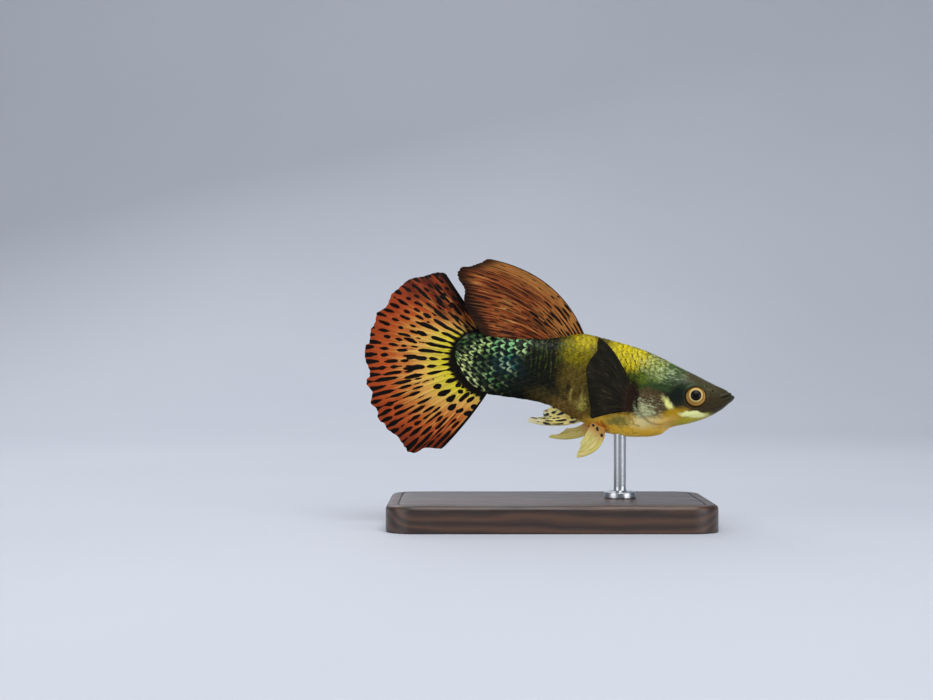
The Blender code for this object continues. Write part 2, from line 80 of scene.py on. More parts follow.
class Wiring:
    """Adds shader nodes to one tree. An input that is handed a socket is linked to it, and one
    that is handed a colour code takes its colour."""

    def __init__(self, tree):
        self.tree = tree

    def node(self, kind, inputs=(), **settings):
        made = self.tree.nodes.new(kind)
        for key, value in settings.items():
            setattr(made, key, value)
        for key, value in dict(inputs).items():
            if isinstance(value, bpy.types.NodeSocket):
                self.tree.links.new(value, made.inputs[key])
            else:
                made.inputs[key].default_value = linear(value) if isinstance(value, str) else value
        return made

    def group(self, name, inputs):
        made = self.node("ShaderNodeGroup", inputs, node_tree=bpy.data.node_groups[name])
        return made.outputs

    def mark(self, name):
        return self.node("ShaderNodeAttribute", attribute_name=name).outputs["Vector"]

    def maths(self, operation, *values):
        return self.node("ShaderNodeMath", enumerate(values), operation=operation).outputs[0]

    def chain(self, operation, value, *others):
        """The operation on the first two values, then on its result and the next, and so on."""
        for other in others:
            value = self.maths(operation, value, other)
        return value

    times = partialmethod(chain, "MULTIPLY")
    plus = partialmethod(chain, "ADD")
    minus = partialmethod(chain, "SUBTRACT")
    most = partialmethod(chain, "MAXIMUM")

    def sloped(self, value, slope, start):
        """The value times the slope, plus the start."""
        return self.maths("MULTIPLY_ADD", value, slope, start)

    def ease(self, value, low, high, out_low=0.0, out_high=1.0):
        """A smooth step from one value to another between low and high, which may be reversed."""
        inputs = enumerate((value, low, high, out_low, out_high))
        return self.node("ShaderNodeMapRange", inputs, interpolation_type="SMOOTHSTEP").outputs[0]

    def vector(self, operation, *values):
        return self.node("ShaderNodeVectorMath", enumerate(values), operation=operation).outputs[0]

    def length(self, vector):
        return self.node("ShaderNodeVectorMath", {0: vector}, operation="LENGTH").outputs[1]

    def split(self, vector):
        return self.node("ShaderNodeSeparateXYZ", {0: vector}).outputs

    def join(self, *parts):
        return self.node("ShaderNodeCombineXYZ", enumerate(parts)).outputs[0]

    def stretch(self, vector, scale, place=(0, 0, 0), turn=(0, 0, 0)):
        inputs = {"Vector": vector, "Location": place, "Rotation": turn, "Scale": scale}
        return self.node("ShaderNodeMapping", inputs).outputs[0]

    def noise(self, vector, scale, detail=2.0, rough=0.5, output=0):
        inputs = {"Vector": vector, "Scale": scale, "Detail": detail, "Roughness": rough}
        return self.node("ShaderNodeTexNoise", inputs).outputs[output]

    def chance(self, number, output):
        inputs = {"W": number}
        made = self.node("ShaderNodeTexWhiteNoise", inputs, noise_dimensions="1D")
        return made.outputs[output]

    def mix(self, share, first, second):
        inputs = {0: share, 6: first, 7: second}
        return self.node("ShaderNodeMix", inputs, data_type="RGBA").outputs[2]

    def ramp(self, value, stops):
        """A colour that runs smoothly through the stops, each a place and a colour code."""
        made = self.node("ShaderNodeValToRGB", {0: value})
        strip = made.color_ramp
        strip.interpolation = "EASE"
        while len(strip.elements) < len(stops):
            strip.elements.new(0.5)
        for element, (place, code) in zip(strip.elements, stops):
            element.position = place
            element.color = linear(code)
        return made.outputs[0]

    def bump(self, height, strength, distance):
        inputs = {"Height": height, "Strength": strength, "Distance": distance}
        return self.node("ShaderNodeBump", inputs).outputs[0]

    def connect(self, inputs, **sockets):
        for key, socket in sockets.items():
            self.tree.links.new(socket, inputs[key.replace("_", " ")])


def finish_named(name, **values):
    """A material, its wiring and its shader, with the values set on the shader's own sockets."""
    made = bpy.data.materials.new(name)
    made.use_nodes = True
    shader = made.node_tree.nodes["Principled BSDF"]
    for key, value in values.items():
        shader.inputs[key.replace("_", " ")].default_value = value
    return made, Wiring(made.node_tree), shader.inputs


camera = bpy.data.objects.new("camera", bpy.data.cameras.new("camera"))
scene.collection.objects.link(camera)
camera.location = CAMERA_PLACE
camera.rotation_euler = (pi / 2, 0, 0)
camera.data.lens = CAMERA_LENS
camera.data.sensor_width = SENSOR_WIDTH
camera.data.clip_start = 0.01
scene.camera = camera
scene.view_settings.view_transform = "Standard"

outline = [(TABLE_FRONT, 0.0), (TABLE_BACK - SWEEP_RADIUS, 0.0)]
for step in range(1, SWEEP_STEPS + 1):
    turn = step / SWEEP_STEPS * pi / 2
    outline.append((TABLE_BACK - SWEEP_RADIUS * (1 - sin(turn)), SWEEP_RADIUS * (1 - cos(turn))))
outline.append((TABLE_BACK, BACKDROP_TOP))
bm = bmesh.new()
both_sides = (-TABLE_HALF_WIDE, TABLE_HALF_WIDE)
strips = [[bm.verts.new((x, y, z)) for x in both_sides] for y, z in outline]
for (a, b), (d, c) in zip(strips, strips[1:]):
    bm.faces.new((a, b, c, d)).smooth = True
mesh = bpy.data.meshes.new("table_top")
bm.to_mesh(mesh)
bm.free()
table_top = bpy.data.objects.new("table_top", mesh)
scene.collection.objects.link(table_top)
paper, wire, shader = finish_named("table_paper", Roughness=0.75)
place = wire.node("ShaderNodeTexCoord").outputs["Object"]
cloud = wire.noise(place, 9.0, 3.0)
tooth = wire.noise(place, 2600.0)
colour = wire.mix(wire.ease(cloud, 0.35, 0.65), TABLE_SHADE, TABLE_PALE)
wire.connect(shader, Base_Color=colour, Normal=wire.bump(tooth, 0.1, 0.0001))
mesh.materials.append(paper)

for name, (stands, points_at, size, watts) in LAMPS.items():
    lamp = bpy.data.lights.new(name, "AREA")
    lamp.size = size
    lamp.energy = watts
    held = bpy.data.objects.new(name, lamp)
    held.location = stands
    held.rotation_euler = (Vector(points_at) - Vector(stands)).to_track_quat("-Z", "Y").to_euler()
    scene.collection.objects.link(held)
scene.world = bpy.data.worlds.new("studio_air")
scene.world.use_nodes = True
air = scene.world.node_tree.nodes["Background"].inputs
air["Color"].default_value = AIR_COLOUR
air["Strength"].default_value = AIR_STRENGTH

# The skin: one cast of the whole body, from the lips to the root of the tail fan, with its mouth,
# nostrils, eye sockets and gill covers, painted and then sealed under a thin clear coat.
NOSE_PLACE = (0.0194, -0.002, 0.0135)
NOSE_DOWN = 7.3  # degrees
HEADING = [(0, 15), (8, 12), (16, 2), (24, -7), (30, -7), (40, 2)]  # back, degrees off straight
BACK_LINE = [(0, 0.16), (0.45, 0.38), (1.05, 0.72), (2.3, 1.12), (4.3, 1.86), (6.3, 2.54),
             (8.5, 3.34), (11, 3.98), (14, 4.44), (16.6, 4.72), (18.6, 4.25), (20.8, 3.68),
             (24, 3.48), (26, 3.4), (28, 3.46), (29.1, 3.2), (29.9, 2.35), (30.25, 1.25)]
BELLY_LINE = [(0, -0.2), (0.35, -0.5), (1.2, -1.4), (2.6, -2.42), (4.4, -3.29), (6.3, -4.0),
              (7.2, -4.82), (8.6, -5.27), (11.2, -5.54), (13.4, -5.36), (15, -4.85),
              (17.2, -4.14), (19.4, -3.28), (21.6, -3.0), (26, -2.93), (27.1, -2.66),
              (28.3, -2.1), (29.4, -1.05), (30.25, 0.85)]
HALF_WIDTH = [(0, 0.55), (0.4, 0.8), (1.2, 1.15), (2.6, 1.62), (4.1, 1.98), (6.2, 2.3),
              (8.6, 2.48), (11.2, 2.46), (14, 2.2), (18, 1.66), (22, 1.16), (26, 0.78),
              (28.5, 0.52), (30.25, 0.32)]
WIDEST_SHARE = [(0, 0.5), (4, 0.5), (8, 0.46), (12, 0.42), (18, 0.5), (30.25, 0.5)]
ROUND_ABOVE = [(0, 2.2), (3, 2.5), (8, 2.15), (14, 1.95), (30.25, 1.9)]
ROUND_BELOW = [(0, 2.2), (5, 2.2), (10, 2.0), (16, 1.85), (30.25, 1.9)]
SNOUT_ROUND = 0.34
HEAD_END = 10.6
STALK_END = 29.2  # where the body starts to round off into the fan
BODY_END = 30.25
HEAD_RINGS = 160
TRUNK_RINGS = 131
END_RINGS = 40
SKIN_GIRTH = 200
MOUTH_HEIGHT = 0.42
MOUTH_SLOPE = -0.5
MOUTH_CORNER = 1.35
MOUTH_DEEP = 0.2
LIP_PROUD = 0.09
NOSTRILS = [(2.2, 0.42, 0.13), (2.85, 0.86, 0.11)]  # back, up, radius
NOSTRIL_DEEP = 0.22
EYE_PLACE = (3.88, -0.42)  # back, up
EYE_RADIUS = 1.08
EYE_RIM_PROUD = 0.05
SOCKET_DEEP = 0.7
GILL_MIDDLE = (7.5, -1.1)
GILL_REACH = (2.52, 2.6)
GILL_PROUD = 0.2
GILL_FOLD = 0.05
CREASES = [  # start, end, half width, depth: the folds behind the jaws and under the throat
    ((1.25, -0.25), (2.35, -1.45), 0.07, 0.07),
    ((1.7, -1.55), (4.6, -2.75), 0.06, 0.05),
    ((4.9, -3.0), (8.3, -4.1), 0.07, 0.05),
    ((5.4, -3.35), (8.0, -4.45), 0.06, 0.04),
]
HIDE_BLACK = "#121209"
# Each marking: name, back, up, half length, half height, degrees that its rear end dips, softness
# and colour
MARKINGS = [
    ("stalk_teal", 26.4, 0.3, 4.6, 4.2, 0, 0.35, "#0a1713"),
    ("flank_olive", 16.3, -0.9, 2.3, 4.2, 12, 0.45, "#69581f"),
    ("flank_low_olive", 19.1, -2.9, 2.6, 1.1, -14, 0.6, "#4c4120"),
    ("flank_low_tan", 17.1, -3.5, 2.2, 0.75, -14, 0.6, "#806632"),
    ("belly_gold", 9.4, -4.6, 6.2, 1.75, 4, 0.25, "#fdca46"),
    ("belly_pale", 8.5, -3.6, 1.9, 0.7, 8, 0.7, "#ecdc9a"),
    ("belly_rim", 9.8, -5.6, 4.6, 0.45, 0, 0.6, "#ffdc5c"),
    # The belly's olive glint is a painted reflection
    ("belly_glint", 11.9, -4.0, 1.3, 0.5, 4, 0.8, "#968c46"),
    ("head_olive", 3.0, 1.4, 5.2, 2.3, -20, 0.3, "#474129"),
    ("snout_grey", 0.6, -0.3, 1.5, 1.6, 0, 0.5, "#38341f"),
    ("cheek_brown", 3.2, -1.3, 2.6, 1.5, 0, 0.4, "#3c311a"),
    ("nape_green", 7.9, 2.1, 2.4, 1.7, -16, 0.5, "#44602f"),
    # The pale patch on the nape is a painted silvery highlight
    ("nape_pale", 8.8, 2.2, 1.1, 1.3, -16, 0.8, "#aeba5a"),
    ("shoulder_yellow", 11.6, 3.1, 2.5, 1.75, -12, 0.4, "#d4c106"),
    ("shoulder_green", 9.9, 0.6, 1.7, 1.3, 20, 0.7, "#56691a"),
    ("shoulder_crest", 8.9, 3.6, 3.6, 0.3, -17, 0.7, "#7f7c1a"),
    ("teal_band", 7.0, 0.25, 3.3, 0.6, 8, 0.6, "#2b4020"),
    ("saddle_yellow", 16.9, 3.2, 2.0, 1.8, 18, 0.4, "#887a06"),
    ("saddle_bright", 16.4, 3.9, 1.3, 0.8, 18, 0.8, "#c0ad08"),
    ("gill_brown", 8.6, -1.8, 2.0, 1.5, 0, 0.4, "#57452c"),
    ("gill_silver", 9.3, -2.5, 1.0, 0.7, 0, 0.9, "#adac80"),
    ("armpit_brown", 10.5, -1.3, 0.8, 2.0, 0, 0.5, "#2a1a10"),
    ("cheek_shade", 5.6, -0.4, 0.9, 1.2, 0, 0.6, "#0f1a14"),
    ("cheek_crescent", 6.6, -1.5, 0.75, 0.32, -46, 0.7, "#e4e68c"),
    ("cheek_gold", 5.6, -2.45, 1.3, 0.6, 12, 0.6, "#b8900e"),
    ("throat_orange", 6.3, -3.5, 1.6, 0.6, 12, 0.7, "#d9ae54"),
    ("jaw_yellow", 4.1, -2.85, 1.9, 0.4, 22, 0.6, "#c0b43a"),
    ("lip_bar", 3.92, -2.25, 1.35, 0.33, 4, 0.35, "#fcfeb0"),
    ("pale_spot", 16.0, -2.75, 0.45, 0.75, 0, 0.5, "#b4a850"),
    ("gut_ring", 16.8, -1.85, 0.74, 1.02, -14, 0.25, "#a8924a"),
    ("gut_ring_inside", 16.72, -1.55, 0.5, 0.95, -14, 0.3, "#64531f"),
    ("gut_shade", 17.75, -1.1, 0.22, 0.5, 0, 0.8, "#2e2214"),
    ("fin_root_orange", 13.8, -4.8, 1.1, 0.5, 0, 0.6, "#b8691c"),
    # The blue patch on the tail stalk is a painted blue-teal glint
    ("stalk_blue", 24.6, 0.6, 1.3, 1.0, 0, 0.9, "#0b2c33"),
    ("stalk_black_rear", 30.3, 0.8, 0.5, 3.6, 0, 0.25, "#050504"),
]
# Painted glints on the scales' rear rims: the same values, with the strength before the colour
RIM_DARK = "#20200f"
RIMS = [
    ("rim_stalk", 27.3, 0.5, 4.0, 3.8, 0, 0.3, 0.34, "#5b9c4c"),
    ("rim_stalk_low", 26.0, -2.7, 1.5, 0.5, 0, 0.6, 0.5, "#a3a55a"),
    ("rim_stalk_top", 24.9, 2.7, 3.0, 1.3, 6, 0.5, 1.0, "#7cc07e"),
    ("rim_stalk_spot", 26.3, -0.9, 0.9, 1.0, 0, 0.7, 0.75, "#84b876"),
    ("rim_stalk_upper", 27.8, 1.8, 2.1, 0.8, 51, 0.5, 1.0, "#b3cf7c"),
    ("rim_stalk_rear", 29.0, 0.0, 0.9, 1.6, 0, 0.5, 1.0, "#c9d882"),
    ("rim_stalk_lower", 27.9, -2.1, 2.3, 0.85, -46, 0.5, 1.0, "#d3dc8c"),
    ("rim_stalk_blue", 24.8, 0.5, 1.2, 0.8, 0, 0.7, 0.8, "#2a8c84"),
]
# Where the scales are outlined darkly, and where they hardly show
OUTLINED = [("shoulder", 11.2, 2.9, 4.2, 2.6, -14, 0.4)]
PLAIN = [("belly", 9.0, -4.4, 7.0, 2.2, 4, 0.3), ("jaw", 4.1, -2.2, 2.2, 0.8, 4, 0.4),
         ("crescent", 6.65, -1.35, 0.8, 1.0, 0, 0.4)]
# Where fine upright stripes and silvery flecks lie over the colour, and the colours of its spots
STRIPED = ("stripes", 19.9, 2.5, 2.7, 2.1, 0, 0.7)
STRIPE_GREEN = "#475a20"
FLECKED = [("nape", 8.0, 2.3, 2.4, 1.3, -16, 0.6), ("gill", 8.9, -2.2, 1.5, 1.0, 0, 0.6)]
FLECK_SLANT = -32  # degrees
FLECK_PALE = "#b4c294"
FLECK_DARK = "#1c2415"
MOTTLE_DARK = "#15140a"
FRECKLE_DARK = "#1a1a10"


def profile(points):
    """A smooth height over distance through the points, which doesn't overshoot them."""
    x, y = np.array(points, float).T
    slope = np.diff(y) / np.diff(x)
    both = slope[:-1] * slope[1:]
    mean = np.where(both > 0, 2 * both / np.where(both > 0, slope[:-1] + slope[1:], 1), 0)
    steep = np.concatenate([slope[:1], mean, slope[-1:]])

    def height(at):
        at = np.clip(np.asarray(at, float), x[0], x[-1])
        i = np.clip(np.searchsorted(x, at, side="right") - 1, 0, len(x) - 2)
        wide = x[i + 1] - x[i]
        t = (at - x[i]) / wide
        start = y[i] * (1 + 2 * t) * (1 - t) ** 2 + steep[i] * wide * t * (1 - t) ** 2
        return start + y[i + 1] * t * t * (3 - 2 * t) + steep[i + 1] * wide * t * t * (t - 1)

    return height


back_line = profile(BACK_LINE)
belly_line = profile(BELLY_LINE)
half_width = profile(HALF_WIDTH)
widest_share = profile(WIDEST_SHARE)
round_above = profile(ROUND_ABOVE)
round_below = profile(ROUND_BELOW)
heading = profile(HEADING)

SPINE = np.linspace(-1, 46, 941)  # from before the snout to past the fan, in steps of 0.05
turns = np.radians(heading(SPINE))
turns = (turns[1:] + turns[:-1]) / 2
SPINE_BACK = np.concatenate([[0], np.cumsum(np.cos(turns) * (SPINE[1] - SPINE[0]))])
SPINE_SIDE = np.concatenate([[0], np.cumsum(np.sin(turns) * (SPINE[1] - SPINE[0]))])
SPINE_BACK -= np.interp(0, SPINE, SPINE_BACK)
SPINE_SIDE -= np.interp(0, SPINE, SPINE_SIDE)


def bent(back, side, up):
    """Points of the straight fish put on its swimming bend, in metres from the snout's tip."""
    turn = np.radians(heading(back))
    x = -np.interp(back, SPINE, SPINE_BACK) + side * np.sin(turn)
    y = np.interp(back, SPINE, SPINE_SIDE) + side * np.cos(turn)
    return np.stack([x, y, np.broadcast_to(up, np.shape(x))], axis=-1) / 1000


def tipped(points):
    """The bent fish dipped by the nose and put in its place above the base."""
    x, y, z = np.moveaxis(points, -1, 0)
    dip = radians(NOSE_DOWN)
    turned = [x * cos(dip) + z * sin(dip), y, z * cos(dip) - x * sin(dip)]
    return np.stack(turned, axis=-1) + NOSE_PLACE


def posed(back, side, up):
    return tipped(bent(back, side, up))


def ease(low, high, value):
    t = np.clip((value - low) / (high - low), 0, 1)
    return t * t * (3 - 2 * t)


def hump(value, middle, wide):
    return np.exp(-(((value - middle) / wide) ** 2))


def from_place(place, back, up):
    """The distance from a place on the flank."""
    return np.hypot(back - place[0], up - place[1])


def from_gill(back, up):
    """How far back and up from the gill cover's middle, and both together in its reaches."""
    off_back, off_up = back - GILL_MIDDLE[0], up - GILL_MIDDLE[1]
    return off_back, off_up, np.hypot(off_back / GILL_REACH[0], off_up / GILL_REACH[1])


def beside(back, up, start, end):
    """The distance from a straight line between two places on the flank."""
    (b0, u0), (b1, u1) = start, end
    along = ((back - b0) * (b1 - b0) + (up - u0) * (u1 - u0)) / ((b1 - b0) ** 2 + (u1 - u0) ** 2)
    along = np.clip(along, 0, 1)
    return np.hypot(back - b0 - along * (b1 - b0), up - u0 - along * (u1 - u0))


def relief(back, side_share, up):
    """How far the head's surface stands out for its lips, folds, eye rims and gill covers."""
    flank = ease(0.2, 0.6, side_share)
    off = (up - MOUTH_HEIGHT - MOUTH_SLOPE * back) / np.hypot(1, MOUTH_SLOPE)
    gape = 1 - ease(MOUTH_CORNER - 0.35, MOUTH_CORNER + 0.1, back)
    out = gape * (LIP_PROUD * hump(abs(off), 0.19, 0.11) - MOUTH_DEEP * hump(off, 0, 0.055))
    for *nostril, radius in NOSTRILS:
        away = from_place(nostril, back, up)
        hole = NOSTRIL_DEEP * hump(away, 0, radius * 0.8)
        out = out + flank * (0.035 * hump(away, 1.3 * radius, 0.07) - hole)
    eye = from_place(EYE_PLACE, back, up)
    rim = EYE_RIM_PROUD * hump(eye, EYE_RADIUS + 0.1, 0.09)
    out = out + flank * (rim - 0.03 * hump(eye, EYE_RADIUS + 0.36, 0.14))
    for start, end, wide, deep in CREASES:
        out = out - flank * deep * hump(beside(back, up, start, end), 0, wide)
    off_back, off_up, gill = from_gill(back, up)
    free = (0.9 * off_back - 0.43 * off_up) / (2.5 * np.maximum(gill, 0.1))
    cover = GILL_PROUD * ease(1.03, 0.985, gill) * ease(0.35, 0.95, gill) * ease(-0.1, 0.5, free)
    cover = cover - GILL_FOLD * hump(gill, 0.52, 0.05) * ease(0.4, -0.2, free)
    return out + flank * ease(5.4, 7.4, back) * cover


def body_point(back, around):
    """A point of the straight body's skin: around is 0 at the left side and pi/2 on the back."""
    blunt = np.sqrt(1 - (1 - np.clip(back / SNOUT_ROUND, 0, 1)) ** 2)
    top = back_line(back) * blunt
    bottom = belly_line(back) * blunt
    wide = half_width(back) * blunt
    middle = bottom + widest_share(back) * (top - bottom)
    c, s = np.cos(around), np.sin(around)
    above = s > 0
    power = 2 / np.where(above, round_above(back), round_below(back))
    high = np.where(above, top - middle, middle - bottom)
    side = wide * np.sign(c) * abs(c) ** power
    rise = high * np.sign(s) * abs(s) ** power
    share = abs(side) / np.maximum(wide, 1e-6)
    lean = np.stack([side / np.maximum(wide, 1e-3) ** 2, rise / np.maximum(high, 1e-3) ** 2])
    lean = lean / np.maximum(np.linalg.norm(lean, axis=0), 1e-6)
    stand = relief(back, share, middle + rise) * ease(0, 0.25, back)
    eye = from_place(EYE_PLACE, back, middle + rise)
    socket = ease(EYE_RADIUS + 0.02, EYE_RADIUS - 0.08, eye) * ease(0.3, 0.5, share)
    side = side + lean[0] * stand
    return back, side - np.sign(side) * SOCKET_DEEP * socket, middle + rise + lean[1] * stand


def lattice(rows, columns, ring=False):
    """The four corners of every cell of a grid, as places down and along it. A ring closes up."""
    down, along = np.arange(rows - 1), np.arange(columns - (not ring))
    down, along = (grid.ravel() for grid in np.meshgrid(down, along, indexing="ij"))
    along_corners = np.stack([along, along + 1, along + 1, along], 1)
    return np.stack([down, down, down + 1, down + 1], 1), along_corners


def tube(rows, sides):
    """A closed tube's cells, as places down and round it, and its faces with those of its ends."""
    down, along = lattice(rows, sides, ring=True)
    faces = (down * sides + along % sides).tolist()
    last = (rows - 1) * sides
    return down, along, [*faces, list(range(sides)), list(range(last, last + sides))]


def cast(name, corners, faces, finish, chart, marks):
    """A smooth closed mesh. chart has each face corner's place on its map, marks name vectors."""
    mesh = bpy.data.meshes.new(name)
    mesh.from_pydata(corners.tolist(), [], faces)
    layer = mesh.uv_layers.new(name="OFBake")
    layer.uv.foreach_set("vector", np.asarray(chart, np.float32).ravel())
    for label, values in marks.items():
        mark = mesh.attributes.new(label, "FLOAT_VECTOR", "POINT")
        mark.data.foreach_set("vector", np.asarray(values, np.float32).ravel())
    bm = bmesh.new()
    bm.from_mesh(mesh)
    bmesh.ops.recalc_face_normals(bm, faces=bm.faces)
    bm.to_mesh(mesh)
    bm.free()
    mesh.shade_smooth()
    mesh.materials.append(finish)
    made = bpy.data.objects.new(name, mesh)
    scene.collection.objects.link(made)
    return made


def new_group(name, inputs, outputs):
    """The wiring of a new node group with named sockets, what it is given and what it puts out."""
    tree = bpy.data.node_groups.new(name, "ShaderNodeTree")
    for label, kind in inputs.items():
        tree.interface.new_socket(label, in_out="INPUT", socket_type=kind)
    for label, kind in outputs.items():
        tree.interface.new_socket(label, in_out="OUTPUT", socket_type=kind)
    wire = Wiring(tree)
    return wire, wire.node("NodeGroupInput").outputs, wire.node("NodeGroupOutput").inputs


NUMBER, VECTOR, COLOUR = "NodeSocketFloat", "NodeSocketVector", "NodeSocketColor"

# One soft-edged patch of colour on the flank
wire, given, put_out = new_group(
    "soft_patch",
    {"Place": VECTOR, "Middle": VECTOR, "Turn": VECTOR, "Half Size": VECTOR, "Softness": NUMBER},
    {"Mask": NUMBER},
)
inputs = {"Vector": given["Place"], "Location": given["Middle"],
          "Rotation": given["Turn"], "Scale": given["Half Size"]}
local = wire.node("ShaderNodeMapping", inputs, vector_type="TEXTURE").outputs[0]
away = wire.length(wire.vector("MULTIPLY", local, (1, 0, 1)))
outer = wire.plus(1.0, given["Softness"])
inner = wire.minus(1.0, given["Softness"])
wire.connect(put_out, Mask=wire.ease(away, outer, inner))


def patch(wire, place, marking):
    """The mask of one named marking at a place on the straight fish."""
    back, up, long, high, dip, soft = marking[1:7]
    inputs = {"Place": place, "Middle": (back, 0, up), "Turn": (0, radians(dip), 0),
              "Half Size": (long, 1, high), "Softness": soft}
    return wire.group("soft_patch", inputs)["Mask"]


def wander(wire, place, scale, reach):
    """A noise that moves a place about, along the flank and up it."""
    away = wire.vector("SUBTRACT", wire.noise(place, scale, output=1), (0.5, 0.5, 0.5))
    return wire.vector("MULTIPLY", away, (reach, 0, reach))


# The markings that the skin and the scales share
wire, given, put_out = new_group(
    "guppy_markings",
    {"Place": VECTOR},
    {"Colour": COLOUR, "Rim Colour": COLOUR, "Rim": NUMBER, "Outline": NUMBER, "Plain": NUMBER},
)
place = given["Place"]
back = wire.split(place)[0]
stray = wire.vector("ADD", wander(wire, place, 0.9, 1.3), wander(wire, place, 3.6, 0.8))
calm = wire.ease(back, 4.0, 10.0, 0.3, 1.0)  # the face's markings stray least
inputs = {0: stray, "Scale": calm}
stray = wire.node("ShaderNodeVectorMath", inputs, operation="SCALE").outputs[0]
strayed = wire.vector("ADD", place, stray)
colour = HIDE_BLACK
for marking in MARKINGS:
    at = place if "gut" in marking[0] else strayed
    colour = wire.mix(patch(wire, at, marking), colour, marking[-1])
# The colour and strength of the glint painted on the scales' rims
rim_colour, rim = RIM_DARK, 0.0
for marking in RIMS:
    mask = patch(wire, strayed, marking)
    rim_colour = wire.mix(mask, rim_colour, marking[-1])
    rim = wire.most(wire.times(mask, marking[7]), rim)
outlined, flecked, plain = (
    wire.most(0.0, *(patch(wire, strayed, marking) for marking in markings))
    for markings in (OUTLINED, FLECKED, PLAIN)
)
wobble = wire.noise(wire.stretch(place, (2.2, 1, 0.5)), 1.0)
upright = wire.maths("SINE", wire.sloped(back, 11.5, wire.times(wobble, 9.0)))
broken = wire.noise(wire.stretch(place, (2.0, 1, 1.1)), 1.3)
striped = wire.times(
    wire.ease(upright, 0.1, 0.9), wire.ease(broken, 0.38, 0.62), patch(wire, strayed, STRIPED)
)
colour = wire.mix(striped, colour, STRIPE_GREEN)
slanted = wire.stretch(place, (1.9, 1.5, 5.0), turn=(0, radians(FLECK_SLANT), 0))
streak = wire.noise(slanted, 1.05, 2.0, 0.6)
pale = wire.times(wire.ease(streak, 0.51, 0.63, 0, 0.78), flecked)
dark = wire.times(wire.ease(streak, 0.46, 0.36, 0, 0.55), flecked)
colour = wire.mix(dark, wire.mix(pale, colour, FLECK_PALE), FLECK_DARK)
mottle = wire.noise(place, 5.5, 3.0, 0.65)
mottled = wire.times(wire.ease(mottle, 0.35, 0.6, 0.5, 0.0), wire.ease(plain, 0, 1, 1, 0.08))
colour = wire.mix(mottled, colour, MOTTLE_DARK)
wire.connect(put_out, Colour=colour, Rim_Colour=rim_colour, Rim=rim, Outline=outlined, Plain=plain)

skin_paint, wire, shader = finish_named(
    "guppy_skin", Roughness=0.42, Coat_Weight=0.1, Coat_Roughness=0.12, Specular_IOR_Level=0.1,
    Subsurface_Weight=0.06, Subsurface_Scale=0.0006, Subsurface_Radius=(1.0, 0.5, 0.2),
)
place = wire.mark("place")
markings = wire.group("guppy_markings", {"Place": place})
freckle = wire.ease(wire.noise(place, 7.5, 3.0, 0.7), 0.55, 0.7, 0, 0.5)
freckled = wire.times(freckle, wire.ease(markings["Plain"], 0, 1, 1, 0.12))
colour = wire.mix(freckled, markings["Colour"], FRECKLE_DARK)
pitted = wire.bump(wire.noise(place, 9.0, 3.0), 0.25, 0.00006)
wire.connect(shader, Base_Color=colour, Normal=pitted)

trunk = np.linspace(HEAD_END, STALK_END, TRUNK_RINGS)[1:]
head = HEAD_END * np.linspace(0, 1, HEAD_RINGS)[1:] ** 1.3
end = BODY_END - np.linspace(1, 0, END_RINGS)[1:] ** 1.6 * (BODY_END - STALK_END)
stations = np.concatenate([[0.003], head, trunk, end])
around = np.arange(SKIN_GIRTH) * 2 * pi / SKIN_GIRTH - pi / 2
straight = np.stack(body_point(*np.meshgrid(stations, around, indexing="ij")), axis=-1)
corners = posed(*np.moveaxis(straight, -1, 0)).reshape(-1, 3)
down, along, faces = tube(len(stations), SKIN_GIRTH)
chart = np.stack([stations[down] / BODY_END, along / SKIN_GIRTH], axis=-1).reshape(-1, 2)
ends = [(end, i / SKIN_GIRTH) for end in (0, 1) for i in range(SKIN_GIRTH)]
chart = np.concatenate([chart, ends])
skin = cast("guppy_skin", corners, faces, skin_paint, chart, {"place": straight.reshape(-1, 3)})
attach(skin, "root")
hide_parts("head", "torso", "tail_stalk")


# The scales: rows of thin plates like roof tiles, each rooted in the skin at its front and a
# little proud of it behind, over the whole body but the face and the gill covers. They are the
# skin's own colour, with painted shade on each plate's front where the plate before lies over it,
# and a rim that has a painted glint on the tail stalk and darkens on the yellow shoulders.
SCALE_ROWS = 20  # right round the body
SCALE_STEP = [(5, 0.5), (12, 0.56), (19, 0.6), (24, 0.76), (30.25, 0.82)]  # from one to the next
SCALE_LENGTH = 1.8  # steps
SCALE_WIDTH = 1.16  # rows
SCALE_PROUD = 0.055
SCALE_THICK = 0.04
SCALE_FIRST = 5.6
SCALE_LAST = 29.95
SCALES_ABOVE = 1.45  # up, on the head
SCALES_BEHIND = 9.0  # back, from where they go all round
GILL_CLEAR = 1.08  # reaches of the gill cover
SCALE_FEWER = 27.6  # where there start to be fewer round the body
SCALE_FEWEST = 7
SCALE_POINTS = 6  # each way on one plate
SCALE_STRAY = (0.045, 0.002, 0)  # along the body and round it
SCALE_MAP = (0.0014, 0.0028)  # the size of one plate on the map
MEASURES = (420, 721)  # how finely the skin is measured along and round the body
PLATE_SHADE = "#0b0c07"
PLATE_OUTLINE = "#3a3805"
RIM_PALE = "#c5d49a"

table_back = np.linspace(SCALE_FIRST - 0.6, BODY_END, MEASURES[0])
table_around = np.linspace(-pi / 2, 3 * pi / 2, MEASURES[1])
ring = np.stack(body_point(*np.meshgrid(table_back, table_around, indexing="ij")), axis=-1)
arc = np.cumsum(np.linalg.norm(np.diff(ring, axis=1), axis=2), axis=1)
arc = np.concatenate([np.zeros((len(arc), 1)), arc], axis=1)
table_share = np.linspace(-0.25, 1.25, 601)  # once round and a quarter more each way
whole_turns = 2 * pi * np.floor(table_share)
table_turn = np.array([
    np.interp(table_share % 1, row / row[-1], table_around) + whole_turns for row in arc
])


